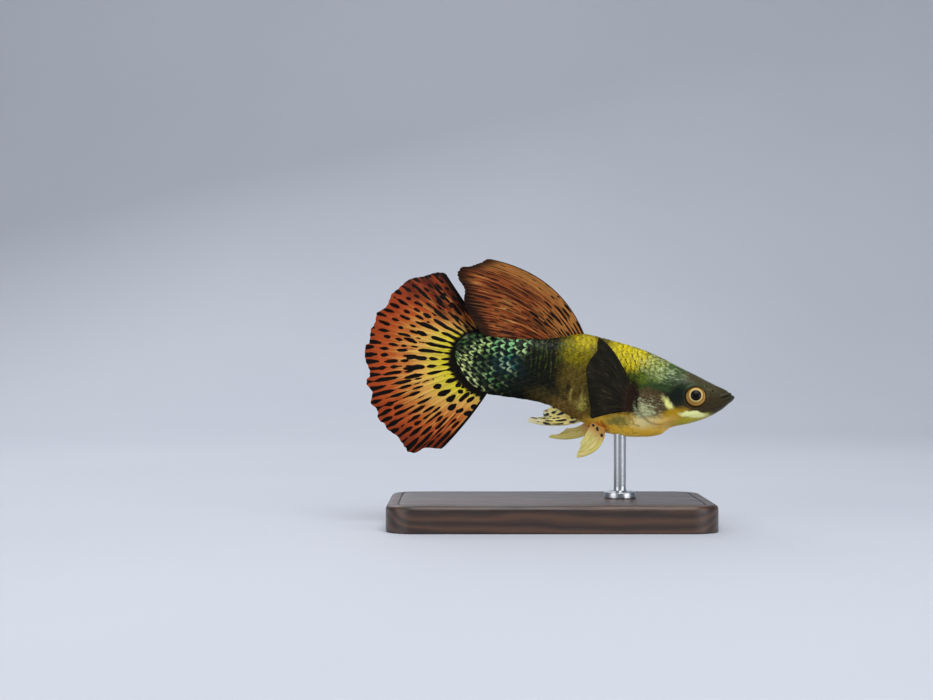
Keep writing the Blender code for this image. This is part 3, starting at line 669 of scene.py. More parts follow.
def turn_at(back, share):
    """The angle round the body of a place that lies at a share of the way round its skin."""
    i = np.interp(back, table_back, np.arange(len(table_back)))
    j = np.interp(share, table_share, np.arange(len(table_share)))
    i0 = np.minimum(i.astype(int), len(table_back) - 2)
    j0 = np.minimum(j.astype(int), len(table_share) - 2)
    fi, fj = i - i0, j - j0
    low = table_turn[i0, j0] * (1 - fj) + table_turn[i0, j0 + 1] * fj
    high = table_turn[i0 + 1, j0] * (1 - fj) + table_turn[i0 + 1, j0 + 1] * fj
    return low * (1 - fi) + high * fi


def above_skin(back, share, lift):
    """A point of the straight fish that stands off its skin."""
    turn = turn_at(back, share)
    here = np.stack(body_point(back, turn), axis=-1)
    rearward = np.stack(body_point(back + 0.02, turn), axis=-1) - here
    roundward = np.stack(body_point(back, turn + 0.004), axis=-1) - here
    out = np.cross(roundward, rearward)
    out /= np.maximum(np.linalg.norm(out, axis=-1, keepdims=True), 1e-9)
    return here + out * lift[..., None]


def slab(rows, columns):
    """The faces of a thin sheet: a grid, its other side, and the strip round their edge."""
    down, along = lattice(rows, columns)
    cells = down * columns + along
    size, last = rows * columns, (rows - 1) * columns
    border = [*range(columns), *range(2 * columns - 1, last, columns),
              *range(last + columns - 1, last - 1, -1), *range(last - columns, 0, -columns)]
    strip = [(a, b, b + size, a + size) for a, b in zip(border, border[1:] + border[:1])]
    return np.concatenate([cells, cells + size, strip])


draw = np.random.default_rng(7)
step_at = profile(SCALE_STEP)
rows = []
station = SCALE_FIRST
while station < SCALE_LAST:
    rows.append(station)
    station += float(step_at(station))
girth = np.interp(rows, table_back, arc[:, -1])
full_girth = np.interp(SCALE_FEWER, table_back, arc[:, -1])
roots = []
for n, (b, distance) in enumerate(zip(rows, girth)):
    count = SCALE_ROWS
    if b >= SCALE_FEWER:
        count = max(SCALE_FEWEST, round(SCALE_ROWS * distance / full_girth))
    roots += [(b, (k + 0.5 * (n % 2)) / count, count) for k in range(count)]
roots = np.array(roots)
roots += draw.normal(0, 1, roots.shape) * SCALE_STRAY
root_back = roots[:, 0]
_, _, root_up = body_point(root_back, turn_at(root_back, roots[:, 1]))
_, _, gill = from_gill(root_back, root_up)
scaly = ((root_up > SCALES_ABOVE) | (root_back > SCALES_BEHIND)) & (gill > GILL_CLEAR)
roots, root_up = roots[scaly], root_up[scaly]
chance = draw.random(len(roots))

across, rearward = np.linspace(-1, 1, SCALE_POINTS), np.linspace(0, 1, SCALE_POINTS)
across, rearward = (grid.ravel() for grid in np.meshgrid(across, rearward, indexing="ij"))
step = step_at(roots[:, :1])
flatter = (1 - 0.6 * ease(9.5, 6.5, roots[:, :1])) * (1 - 0.6 * ease(-3.2, -4.6, root_up[:, None]))
plate_back = roots[:, :1] + SCALE_LENGTH * step * rearward * (1 - 0.34 * across**2)
plate_back = np.minimum(plate_back, BODY_END - 0.12)
plate_share = roots[:, 1:2] + across * (1 - 0.15 * rearward**3) * SCALE_WIDTH / 2 / roots[:, 2:]
lift = SCALE_PROUD * flatter * (rearward**1.4 * (1 - 0.3 * across**2) - 0.12)
upper = above_skin(plate_back, plate_share, lift)
lower = above_skin(plate_back, plate_share, lift - SCALE_THICK * (1 - 0.6 * rearward))
straight = np.concatenate([upper, lower], axis=1)
plate_faces = slab(SCALE_POINTS, SCALE_POINTS)
faces = (np.arange(len(roots))[:, None, None] * 2 * len(across) + plate_faces).reshape(-1, 4)
plate_chart = np.stack([across * SCALE_MAP[0], (rearward - 0.5) * SCALE_MAP[1]], axis=-1)
plate_chart = np.concatenate([plate_chart, plate_chart])[plate_faces]
root_chart = np.stack([roots[:, 0] / BODY_END, roots[:, 1] % 1], axis=-1)
chart = (root_chart[:, None, None, :] + plate_chart).reshape(-1, 2)
plate_mark = np.stack(np.broadcast_arrays(across, rearward, chance[:, None]), axis=-1)
plate_mark = np.concatenate([plate_mark, plate_mark], axis=1).reshape(-1, 3)

scale_paint, wire, shader = finish_named(
    "guppy_scales", Roughness=0.42, Coat_Weight=0.06, Coat_Roughness=0.15, Specular_IOR_Level=0.07
)
place = wire.mark("place")
markings = wire.group("guppy_markings", {"Place": place})
plate = wire.split(wire.mark("plate"))
luck = wire.split(wire.chance(plate[2], 1))
curly = wire.split(wire.noise(place, 4.0, output=1))
curl_back, curl_aside = (wire.sloped(curl, 0.24, -0.12) for curl in curly[:2])
rearward = wire.plus(plate[1], curl_back, wire.sloped(luck[0], 0.22, -0.1))
aside = wire.sloped(plate[0], 0.27, curl_aside)
aside = wire.plus(aside, wire.sloped(luck[1], 0.3, -0.15))
showing = wire.minus(1.0, markings["Plain"])
# Painted shade: each plate darkens towards its front, where the plate before it lies over it
shaded = wire.times(wire.ease(plate[1], 0.4, 0.72, 0.3, 0.0), showing)
colour = wire.mix(shaded, markings["Colour"], PLATE_SHADE)
broken = wire.ease(wire.noise(place, 2.2), 0.38, 0.58, 0.1, 1.0)
thin_edge = wire.times(wire.ease(plate[1], 0.84, 0.96), markings["Outline"], broken, 0.75)
colour = wire.mix(thin_edge, colour, PLATE_OUTLINE)
# Painted glint: a crescent of the rim colour on the rear of chosen plates, where the rims glint
rim_colour = wire.mix(wire.ease(luck[2], 0.3, 1.0, 0, 0.8), markings["Rim Colour"], RIM_PALE)
away = wire.length(wire.join(aside, wire.minus(rearward, 0.64)))
off_ring = wire.maths("ABSOLUTE", wire.minus(away, 0.19))
open_side = wire.plus(rearward, wire.times(aside, wire.sloped(luck[2], 2.6, -1.3)))
crescent = wire.times(wire.ease(off_ring, 0.14, 0.08), wire.ease(open_side, 0.56, 0.72))
chosen = wire.ease(wire.sloped(markings["Rim"], 0.6, plate[2]), 0.4, 0.75, 0.1, 1.0)
lit = wire.times(chosen, wire.ease(broken, 0, 0.5, 0.2, 1.0), markings["Rim"])
colour = wire.mix(wire.times(crescent, lit), colour, rim_colour)
pitted = wire.bump(wire.noise(place, 12.0), 0.2, 0.00004)
wire.connect(shader, Base_Color=colour, Normal=pitted)
corners = posed(*np.moveaxis(straight, -1, 0)).reshape(-1, 3)
marks = {"place": straight.reshape(-1, 3), "plate": plate_mark}
scales = cast("guppy_scales", corners, faces.tolist(), scale_paint, chart, marks)
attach(scales, "root")

# The eyes: flattened glass balls with a golden iris round a black pupil, set in the sockets so
# that they face out and a little forward. Their fronts are polished.
EYE_THICK = 0.74  # half, from side to side
EYE_PROUD = 0.3  # beyond the skin
EYE_FORWARD = 10  # degrees
EYE_BULGE = 0.05
EYE_ROWS = 40
EYE_SIDES = 64
PUPIL_PLACE = (-0.04, 0.2)  # forward and up from the middle
IRIS_REACH = 1.3  # from the pupil's middle to the last ring
IRIS_RINGS = [
    (0.0, "#030303"), (0.42, "#050403"), (0.455, "#d2b878"), (0.54, "#bd9a50"), (0.63, "#7c5628"),
    (0.7, "#b8924a"), (0.8, "#a87e3c"), (0.88, "#563818"), (1.0, "#2c1c0d"),
]

eye_paint, wire, shader = finish_named(
    "guppy_eye", Roughness=0.35, Coat_Weight=0.12, Coat_Roughness=0.05, Specular_IOR_Level=0.1
)
look = wire.mark("look")
fibre = wire.noise(look, 7.0, 3.0, 0.7)
wavy = wire.plus(wire.length(look), wire.times(wire.minus(fibre, 0.5), 0.05))
colour = wire.ramp(wire.maths("DIVIDE", wavy, IRIS_REACH), IRIS_RINGS)
wire.connect(shader, Base_Color=colour)
tilt, spin = np.linspace(0.001, pi - 0.001, EYE_ROWS), np.arange(EYE_SIDES) * 2 * pi / EYE_SIDES
tilt, spin = np.meshgrid(tilt, spin, indexing="ij")
round_x, round_y = np.sin(tilt) * np.cos(spin), np.sin(tilt) * np.sin(spin)
glass = np.stack([round_x * EYE_RADIUS, round_y * EYE_RADIUS,
                  np.cos(tilt) * EYE_THICK + EYE_BULGE * hump(tilt, 0, 0.5)], axis=-1)
down, along, faces = tube(EYE_ROWS, EYE_SIDES)
spread = np.stack([np.cos(along / EYE_SIDES * 2 * pi), np.sin(along / EYE_SIDES * 2 * pi)], axis=-1)
chart = (spread * down[..., None] / (2 * EYE_ROWS + 2)).reshape(-1, 2) + 0.5
chart = np.concatenate([chart, np.full((2 * EYE_SIDES, 2), 0.5)])
for hand, name in ((1, "eye_left"), (-1, "eye_right")):
    facing = radians(heading(EYE_PLACE[0]) + hand * EYE_FORWARD)
    turn = Euler((-hand * pi / 2, 0, -facing)).to_matrix()
    ball = glass @ np.array(turn).T / 1000
    forward = ball @ np.array(turn @ Vector((1, 0, 0))) * 1000 - PUPIL_PLACE[0]
    look = np.stack([forward, 0 * tilt, ball[..., 2] * 1000 - PUPIL_PLACE[1]], axis=-1)
    out = half_width(EYE_PLACE[0]) + EYE_PROUD - EYE_THICK
    corners = tipped(ball + bent(EYE_PLACE[0], hand * out, EYE_PLACE[1])).reshape(-1, 3)
    marks = {"look": look.reshape(-1, 3)}
    eye = cast(f"guppy_{name}", corners, faces, eye_paint, chart, marks)
    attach(eye, "root")
    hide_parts(name)

# The sail on the back: a thin membrane on fifteen rays that fork towards the margin, brown-orange
# and streaked along the rays, tan in front, blotched with black at its root and dark behind.
# Like all the fins it is one cast, with the rays standing out on both faces.
SAIL_ROOT = [(16.3, 4.1), (18.6, 3.7), (21.2, 3.0)]  # back, up; leading ray first
SAIL_BOW = [(19.6, 10.7), (22.6, 9.0), (24.0, 6.4), (24.2, 3.35)]
SAIL_TIP = [(27.6, 11.25), (28.0, 11.23), (28.68, 10.77), (29.29, 10.48), (29.89, 10.19),
            (30.62, 10.05), (31.05, 9.3), (30.88, 8.8), (30.5, 8.31), (30.12, 7.83), (30.0, 7.23),
            (30.0, 6.61), (29.8, 6.0), (29.35, 5.35), (28.85, 4.7), (28.3, 4.0), (27.6, 3.15)]
SAIL_LEAN = 1.05
SAIL_RAYS = 15
SAIL_MAKE = (90, 0.12, 0.008)  # cells along a ray, how proud a ray is, how scalloped the margin
SAIL_STREAKS = [(0.0, "#2a120a"), (0.25, "#5c230f"), (0.6, "#813a18"), (0.85, "#9c5828"),
                (1.0, "#b8854a")]
SAIL_TAN = "#b97f40"
SAIL_BROWN = "#2a120a"
SAIL_RAY_TAN = "#b98048"
SAIL_BLACK = "#110a07"
FIN_SHEEN = {"Roughness": 0.5, "Coat_Weight": 0.02, "Coat_Roughness": 0.25,
             "Specular_IOR_Level": 0.06}
FIN_THICK = [(0, 0.5), (0.3, 0.26), (0.8, 0.17), (1, 0.09)]  # from root to tip
RAY_HEIGHT = [(0, 0.3), (0.3, 1), (0.8, 0.8), (1, 0.2)]
RAY_CELLS = 12  # across one ray and its web
RAY_FORK = 0.24  # how far its two halves spread, in shares of the rays' pitch
RAY_WIDE = 0.14


def route(points):
    """A smooth line through the points, as a function of the share of its length."""
    points = np.array(points, float)
    along = np.cumsum(np.linalg.norm(np.diff(points, axis=0), axis=1))
    along = np.concatenate([[0], along])
    parts = [profile(np.column_stack([along / along[-1], column])) for column in points.T]
    return lambda share: np.stack([part(share) for part in parts], axis=-1)


def folds(across, along, count, high, phase):
    """Soft folds that run along the rays and grow towards the tips."""
    return high * np.sin(2 * pi * count * across + phase) * along


def fin(name, outline, side, rays, make, finish):
    """A closed sheet that swells along its rays, which fork half way out, with a scalloped margin.

    outline has the root, the bow and the tip of the rays, and make is like SAIL_MAKE. Its mark
    "ray" has the share across the fin, the share from root to tip, and how near the closest ray is.
    """
    cells, ridge, scallop = make
    root, bow, tip = (route(points) for points in outline)
    across = np.linspace(0, 1, rays * RAY_CELLS + 1)[:, None]
    along = np.linspace(0, 1, cells + 1)[None, :] ** 1.15
    off = across * rays - 0.5
    off = off - np.round(off)
    uneven = 0.5 + 0.5 * np.sin(61 * across) * np.sin(23 * across + 1)
    notch = uneven * (1 + np.cos(4 * pi * (off + 0 * along))) / 2 * ease(0.8, 1, along)
    run = along * (1 - scallop * notch)
    flat = root(across) * (1 - run[..., None]) ** 2
    flat = flat + 2 * bow(across) * (run * (1 - run))[..., None] + tip(across) * run[..., None] ** 2
    place = posed(flat[..., 0], side(across, run, flat[..., 0]), flat[..., 1])
    out = np.cross(np.gradient(place, axis=0), np.gradient(place, axis=1))
    out /= np.maximum(np.linalg.norm(out, axis=-1, keepdims=True), 1e-12)
    fork = RAY_FORK * ease(0.4, 0.9, along)
    ray = np.exp(-(((abs(off) - fork) / RAY_WIDE) ** 2))
    half = profile(FIN_THICK)(along) / 2 + ridge / 2 * ray * profile(RAY_HEIGHT)(along)
    edge = np.minimum(np.minimum(across, 1 - across) * rays * 2, 1) + 0 * along
    half = half * (0.25 + 0.75 * np.sqrt(edge))
    both_faces = [place + out * half[..., None] / 1000, place - out * half[..., None] / 1000]
    across, along = (np.broadcast_to(share, half.shape) for share in (across, along))
    faces = slab(rays * RAY_CELLS + 1, cells + 1)
    front = np.stack([0.01 + 0.47 * across, 0.02 + 0.96 * along], axis=-1).reshape(-1, 2)
    chart = np.concatenate([front, front + (0.51, 0)])[faces]
    edge_strip = chart[2 * rays * RAY_CELLS * cells:]
    edge_strip[:, 2:] = edge_strip[:, 1::-1]
    ray_mark = np.stack([across, along, ray], axis=-1).reshape(-1, 3)
    made = cast(f"guppy_{name}", np.concatenate(both_faces).reshape(-1, 3), faces.tolist(), finish,
                chart.reshape(-1, 2), {"ray": np.concatenate([ray_mark, ray_mark])})
    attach(made, "root")
    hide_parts(name)
    return made


# Dashes of colour that lie in rows between the rays: a fancy guppy's leopard pattern
wire, given, put_out = new_group(
    "ray_dashes",
    {"Ray": VECTOR, "Rows": NUMBER, "Dashes": NUMBER, "Slimness": NUMBER, "Gaps": NUMBER,
     "Seed": NUMBER},
    {"Mask": NUMBER},
)
across, along, _ = wire.split(given["Ray"])
row = wire.times(across, given["Rows"])
cell = wire.plus(wire.maths("FLOOR", row), given["Seed"])
spot = wire.join(along, wire.times(cell, 3.17))
stray = wire.minus(wire.noise(wire.stretch(spot, (5, 1, 1)), 1.0, 1.0), 0.5)
off = wire.plus(wire.minus(wire.maths("FRACT", row), 0.5), wire.times(stray, 0.4))
uneven = wire.noise(wire.stretch(spot, (3.2, 1.7, 1), (9, 0, 0)), 1.0)
beat = wire.times(along, given["Dashes"])
beat = wire.plus(beat, wire.times(wire.chance(cell, 0), 7.0), wire.times(uneven, 2.6))
wave = wire.sloped(wire.maths("SINE", wire.times(beat, 2 * pi)), 0.5, 0.5)
thin = wire.times(off, off, given["Slimness"])
left = wire.minus(wave, thin, given["Gaps"])
frayed = wire.noise(wire.join(wire.times(row, 3.0), wire.times(along, 40.0)), 1.0)
left = wire.plus(left, wire.sloped(frayed, 0.5, -0.25))
wire.connect(put_out, Mask=wire.ease(left, 0.0, 0.16))


def dashes(wire, ray, rows, count, slimness, gaps, seed):
    inputs = {"Ray": ray, "Rows": rows, "Dashes": count, "Slimness": slimness, "Gaps": gaps,
              "Seed": seed}
    return wire.group("ray_dashes", inputs)["Mask"]


# Broad and fine streaks along the rays, and the height of the joints in them
wire, given, put_out = new_group(
    "ray_streaks", {"Ray": VECTOR, "Rays": NUMBER},
    {"Streak": NUMBER, "Fine": NUMBER, "Joints": NUMBER},
)
across, along, near = wire.split(given["Ray"])
spot = wire.join(wire.times(across, given["Rays"]), along)
broad = wire.noise(wire.stretch(spot, (1.1, 2.6, 1)), 1.0, 3.0, 0.6)
fine = wire.noise(wire.stretch(spot, (5.0, 6.0, 1)), 1.0, 3.0, 0.65)
joint = wire.times(wire.maths("SINE", wire.times(along, 260.0)), near, 0.5)
wire.connect(put_out, Streak=broad, Fine=fine, Joints=joint)


def membrane(name, rays, **values):
    """A fin's material with its wiring, its shader, its ray mark, the mark's three parts and its
    streaks. The joints of its rays are already a bump in it."""
    made, wire, shader = finish_named(name, **values)
    ray = wire.mark("ray")
    streaks = wire.group("ray_streaks", {"Ray": ray, "Rays": rays})
    wire.connect(shader, Normal=wire.bump(streaks["Joints"], 0.4, 0.00005))
    return made, wire, shader, ray, wire.split(ray), streaks


def sail_side(across, along, back):
    """The sail leans to the fish's right as it trails back, clear of the tail fan."""
    return -SAIL_LEAN * along**1.5 + folds(across, along, 1.5, 0.12, 0.4)


sail_paint, wire, shader, ray, (across, along, near), streaks = membrane(
    "sail_membrane", SAIL_RAYS, **FIN_SHEEN
)
colour = wire.ramp(wire.ease(streaks["Streak"], 0.3, 0.72), SAIL_STREAKS)
front = wire.ease(across, 0.3, 0.03, 0, 0.6)
low = wire.times(wire.ease(along, 0.55, 0.12, 0, 0.6), wire.ease(across, 0.85, 0.3))
colour = wire.mix(wire.most(front, low), colour, SAIL_TAN)
inside = wire.ease(across, 0.08, 0.42, 0.4, 1.0)
dark_streaks = wire.times(wire.ease(streaks["Fine"], 0.48, 0.61, 0, 0.78), inside)
colour = wire.mix(dark_streaks, colour, SAIL_BROWN)
colour = wire.mix(wire.ease(near, 0.5, 0.95, 0, 0.3), colour, SAIL_RAY_TAN)
short = dashes(wire, ray, 20.0, 4.5, 14.0, wire.ease(inside, 0.4, 1.0, 0.75, 0.36), 3.0)
root_zone = wire.times(wire.ease(along, 0.6, 0.28), wire.ease(across, 0.95, 0.5))
blot_gaps = wire.minus(1.5, wire.times(root_zone, 1.3))
blots = dashes(wire, ray, 15.0, 5.0, 9.0, blot_gaps, 11.0)
lower = wire.ease(across, 0.5, 0.95, 0, 0.1)
margin = wire.plus(along, wire.times(streaks["Streak"], 0.12), lower)
rear_edge = wire.ease(margin, 0.93, 1.05, 0, 0.92)
lead_edge = wire.ease(across, 0.025, 0.008, 0, 0.9)
black = wire.most(wire.times(short, 0.85), blots, rear_edge, lead_edge)
wire.connect(shader, Base_Color=wire.mix(black, colour, SAIL_BLACK))
outline = (SAIL_ROOT, SAIL_BOW, SAIL_TIP)
sail = fin("dorsal_fin", outline, sail_side, SAIL_RAYS, SAIL_MAKE, sail_paint)

# The tail fan: one cast like the sail, of twenty-four forked rays and a thin web, rooted round the
# end of the tail stalk. It is yellow at the root through orange to brick red at the margin, set
# with rows of black dashes, and dark along both edges.
FAN_ROOT = [(26.6, 3.0), (28.4, 2.3), (29.2, 1.2), (29.2, 0.2), (28.4, -0.9), (27.2, -1.8),
            (25.9, -2.4)]
FAN_BOW = [(29.4, 6.05), (32, 5.2), (34.2, 1.2), (33.6, -2.4), (30.6, -5.2), (27.6, -6.0)]
FAN_TIP = [(32.0, 9.18), (32.44, 9.29), (33.06, 9.21), (33.77, 8.9), (34.57, 8.54), (35.29, 8.34),
           (35.99, 7.99), (36.55, 7.44), (37.1, 6.78), (37.56, 6.25), (37.7, 5.7), (37.92, 4.93),
           (38.49, 4.38), (38.87, 4.07), (38.9, 3.43), (39.02, 2.78), (39.28, 2.32), (39.28, 1.48),
           (39.25, 0.85), (39.59, 0.59), (39.6, -0.15), (39.44, -0.98), (39.1, -1.57),
           (38.83, -2.06), (38.76, -2.59), (39.02, -3.04), (38.97, -3.46), (38.6, -3.83),
           (38.22, -4.32), (38.26, -4.85), (38.3, -5.38), (37.71, -5.84), (37.45, -6.23),
           (37.37, -6.85), (37.0, -7.23), (36.56, -7.38), (36.28, -7.88), (35.71, -8.23),
           (35.03, -8.56), (34.53, -9.14), (34.03, -9.71), (33.67, -10.08), (33.02, -10.11),
           (32.53, -9.83), (32.04, -9.45), (31.21, -9.35), (30.35, -9.34), (29.96, -9.08)]
FAN_RAYS = 24
FAN_MAKE = (110, 0.12, 0.008)
UPPER_CURL = 0.95
LOWER_CURL = 0.5
FAN_RIPENING = [(0.2, "#c8bb2a"), (0.32, "#ccb542"), (0.46, "#d09c4c"), (0.62, "#ba6e33"),
                (0.8, "#a84a20"), (1.0, "#943c1c")]
FAN_RUST = "#7a2f14"
FAN_RAY_YELLOW = "#e2c060"
FAN_MAROON = "#3e110a"
FAN_LOW_MAROON = "#3f1610"
FAN_BLACK = "#0d0806"


def fan_side(across, along, back):
    """Both lobes of the tail fan curl a little to the fish's left."""
    curl = UPPER_CURL * ease(0.34, 0, across) + LOWER_CURL * ease(0.75, 1, across)
    return curl * along + folds(across, along * along, 2.6, 0.3, 1.0)


fan_paint, wire, shader, ray, (across, along, near), streaks = membrane(
    "fan_membrane", FAN_RAYS, **FIN_SHEEN
)
rise = wire.plus(wire.ease(across, 0.34, 0.06, 0, 0.3), wire.ease(across, 0.72, 0.96, 0, 0.2))
ripe = wire.plus(along, rise, wire.sloped(streaks["Streak"], 0.24, -0.12))
colour = wire.ramp(ripe, FAN_RIPENING)
colour = wire.mix(wire.ease(streaks["Fine"], 0.5, 0.7, 0, 0.35), colour, FAN_RUST)
pale_ray = wire.times(wire.ease(near, 0.4, 0.95, 0, 0.4), wire.ease(along, 0.9, 0.5))
colour = wire.mix(pale_ray, colour, FAN_RAY_YELLOW)
top = wire.ease(across, 0.26, 0.12)
maroon = wire.times(top, wire.ease(streaks["Streak"], 0.62, 0.4, 0.2, 0.9))
colour = wire.mix(maroon, colour, FAN_MAROON)
low_margin = wire.times(wire.ease(across, 0.66, 0.85), wire.ease(ripe, 0.85, 1.1, 0, 0.55))
colour = wire.mix(low_margin, colour, FAN_LOW_MAROON)
# The black: bars at the root, ovals low on it, small dashes outside them and long ones on top
low = wire.ease(across, 0.56, 0.68)
gaps = wire.plus(
    wire.ease(along, 0.14, 0.26, -0.6, 0.0), wire.ease(along, 0.52, 0.72, 0, 1.3),
    wire.times(low, wire.ease(along, 0.15, 0.2, 0, 1.5)),
)
bars = dashes(wire, ray, 20.0, 3.8, 13.0, gaps, 1.0)
oval_zone = wire.times(low, wire.ease(along, 0.5, 0.42))
gaps = wire.minus(1.6, wire.times(oval_zone, 1.5))
ovals = dashes(wire, ray, 17.0, 6.5, 6.0, gaps, 91.0)
gaps = wire.minus(
    wire.plus(wire.ease(along, 0.56, 0.4, -0.04, 1.2), wire.ease(across, 0.52, 0.34, 0, 0.3)),
    wire.ease(along, 0.9, 1.0, 0, 0.3),
)
small = dashes(wire, ray, 38.0, wire.ease(across, 0.4, 0.6, 6.0, 4.2), 8.5, gaps, 31.0)
gaps = wire.minus(1.4, wire.times(top, 1.2))
long = dashes(wire, ray, 32.0, 2.6, 12.0, gaps, 51.0)
root_edge = wire.minus(along, wire.times(streaks["Fine"], 0.14))
black = wire.most(bars, small, ovals, long, wire.ease(root_edge, 0.1, 0.07),
                    wire.ease(across, 0.045, 0.015), wire.ease(across, 0.972, 0.986))
wire.connect(shader, Base_Color=wire.mix(black, colour, FAN_BLACK))
outline = (FAN_ROOT, FAN_BOW, FAN_TIP)
fan = fin("caudal_fin", outline, fan_side, FAN_RAYS, FAN_MAKE, fan_paint)

# The side fins: thin casts let into the flanks behind the gill covers, where they stand off like
# ears. They are black-brown, reddish at the root, with a few pale glints painted along the rays.
EAR_ROOT = [(10.35, -0.95), (10.5, -1.8), (10.55, -2.75)]
EAR_BOW = [(12.6, 3.6), (13.3, 0.6), (13.3, -1.6), (13.0, -3.3)]
EAR_TIP = [(15.15, 4.5), (15.2, 3.9), (15.1, 3.2), (15.5, 2.5), (15.9, 1.8), (16.1, 1), (15.9, 0.1),
           (15.65, -0.9), (15.4, -1.7), (15.15, -2.5), (15.0, -3.2), (15.0, -3.7), (14.75, -4.05)]
EAR_RAYS = 13
EAR_MAKE = (70, 0.04, 0.015)
EAR_STAND = 2.28  # from the body's middle at the root
EAR_RISE = 0.75
EAR_CUP = 0.2
EAR_FLARE = {"pectoral_fin_right": (-1, 0.24), "pectoral_fin_left": (1, 0.2)}  # hand, slope
FLARE_FROM = 10.1
EAR_BLACK = "#100f08"
EAR_BROWN = "#221e11"
EAR_ROOT_RED = "#2e1b13"
EAR_GLINT = "#8a8668"

ear_paint, wire, shader, ray, (_, along, _), streaks = membrane(
    "black_membrane", EAR_RAYS, Roughness=0.5, Coat_Weight=0.02, Coat_Roughness=0.3,
    Specular_IOR_Level=0.08,
)
colour = wire.mix(wire.ease(streaks["Streak"], 0.35, 0.7), EAR_BLACK, EAR_BROWN)
colour = wire.mix(wire.ease(along, 0.24, 0.06, 0, 0.8), colour, EAR_ROOT_RED)
# Painted glints: pale dashes along the rays of the black fins
glint = dashes(wire, ray, 26.0, 3.0, 60.0, 0.8, 5.0)
glint = wire.times(glint, wire.ease(streaks["Streak"], 0.48, 0.6), 0.5)
wire.connect(shader, Base_Color=wire.mix(glint, colour, EAR_GLINT))


def ear_side(hand, flare):
    """Each side fin leaves the flank steeply at its root, then stands off it like an ear."""

    def side(across, along, back):
        root = EAR_STAND + EAR_RISE * ease(0, 0.15, along)
        return hand * (root + flare * (back - FLARE_FROM) + EAR_CUP * np.sin(pi * across) * along)

    return side


outline = (EAR_ROOT, EAR_BOW, EAR_TIP)
for name, (hand, flare) in EAR_FLARE.items():
    ear = fin(name, outline, ear_side(hand, flare), EAR_RAYS, EAR_MAKE, ear_paint)

# The fins below: a pair of belly fins and the vent fin behind them, thin casts let into the belly,
# pale yellow and clear enough at their edges to see light through. They are blotched with black,
# and the belly fins are orange at the root.
LOWER_FINS = {  # root, bow, tip, side at the root and at the tip, rays
    "pelvic_fin_right": (
        [(13.2, -4.5), (13.9, -4.4), (14.6, -4.2)], [(12.4, -7.5), (13.7, -6.9), (15.1, -6.1)],
        [(15.8, -8.45), (15.85, -7.95), (15.6, -7.4), (15.55, -7.0), (15.65, -6.7)],
        (-0.75, -1.5), 6),
    "pelvic_fin_left": (
        [(13.4, -4.5), (14.1, -4.4), (14.8, -4.2)], [(15.5, -7.2), (15.9, -6.4), (16.1, -5.5)],
        [(19, -6.75), (18.7, -6.45), (18, -6.3), (17.5, -5.9), (17.1, -5.5)],
        (0.8, 1.25), 6),
    "anal_fin": (
        [(15.0, -4.2), (17, -3.5), (18.8, -2.9)], [(17.8, -5.9), (18.6, -4.6), (19.2, -3.7)],
        [(21.5, -5.35), (21.3, -4.85), (20.3, -4.65), (19.8, -4.55), (19.95, -4.1),
         (19.65, -3.75)],
        (0.0, -0.1), 8),
}
LOWER_MAKE = (60, 0.08, 0.03)
WEB_RAYS = 6
WEB_YELLOW = "#d6c75e"
WEB_PALE = "#ece29c"
WEB_ORANGE = "#d08a2c"
WEB_OLIVE = "#a8984a"
WEB_BLACK = "#14110b"


def pale_membrane(name, fleshy, rows, blotched, far_gaps, clear):
    """The pale web: how orange its root is, how many rows of blotches it has, how full they are
    at the root, how bare they leave the rest, and how clear its edge is."""
    made, wire, shader, ray, (_, along, _), streaks = membrane(
        name, WEB_RAYS, Roughness=0.4, Coat_Weight=0.2, Coat_Roughness=0.15, Specular_IOR_Level=0.3,
        Subsurface_Weight=0.3, Subsurface_Scale=0.0004,
    )
    colour = wire.mix(wire.ease(streaks["Streak"], 0.35, 0.65), WEB_YELLOW, WEB_PALE)
    colour = wire.mix(wire.ease(along, 0.5, 0.12, 0, fleshy), colour, WEB_ORANGE)
    colour = wire.mix(wire.ease(streaks["Fine"], 0.55, 0.7, 0, 0.2), colour, WEB_OLIVE)
    gaps = wire.ease(along, 0.25, 0.5, 1.0 - blotched, far_gaps)
    blots = dashes(wire, ray, rows, 2.6, 5.0, gaps, 21.0)
    alpha = wire.most(blots, wire.ease(along, 0.45, 1.0, 1.0, 1.0 - clear))
    wire.connect(shader, Base_Color=wire.mix(blots, colour, WEB_BLACK), Alpha=alpha)
    return made


belly_web = pale_membrane("belly_fin_membrane", 0.85, 3.0, 0.5, 1.6, 0.15)
vent_web = pale_membrane("vent_fin_membrane", 0.2, 6.0, 0.7, 0.4, 0.6)
for name, (*outline, (side_root, side_tip), rays) in LOWER_FINS.items():
    web = vent_web if name == "anal_fin" else belly_web

    def side(across, along, back):
        return side_root + (side_tip - side_root) * along

    made = fin(name, outline, side, rays, LOWER_MAKE, web)

# The base: an oiled dark hardwood plate with rounded corners, its top edge rounded over and a fine
# line scribed round the top.
BASE_SIZE = (34.0, 20.0, 2.8)
BASE_CORNER = 3.0
BASE_EDGE = 0.5
BASE_FOOT = 0.12  # the small chamfer underneath
LINE_INSET = 1.3
LINE_DEEP = 0.14
LINE_SHAPE = [(-0.14, 0.0), (-0.08, 0.02), (-0.05, LINE_DEEP), (0.05, LINE_DEEP), (0.08, 0.02),
              (0.14, 0.0)]
LEAST_CORNER = 0.05
CORNER_STEPS = 16
WALL_RINGS = 12  # from the foot to where the top begins
TOP_INSETS = (2.2, 4.5, 7.5)
MAP_SPAN = 80  # across the whole map of its top and underside
GRAIN = [(0.0, "#2a1a12"), (0.5, "#3c2619"), (1.0, "#4d3222")]
PORE_DARK = "#150d08"
HEART = (0, -0.006, 0.022)  # the log's middle, in metres, beside and above the plate
RING_RATE = 6500.0

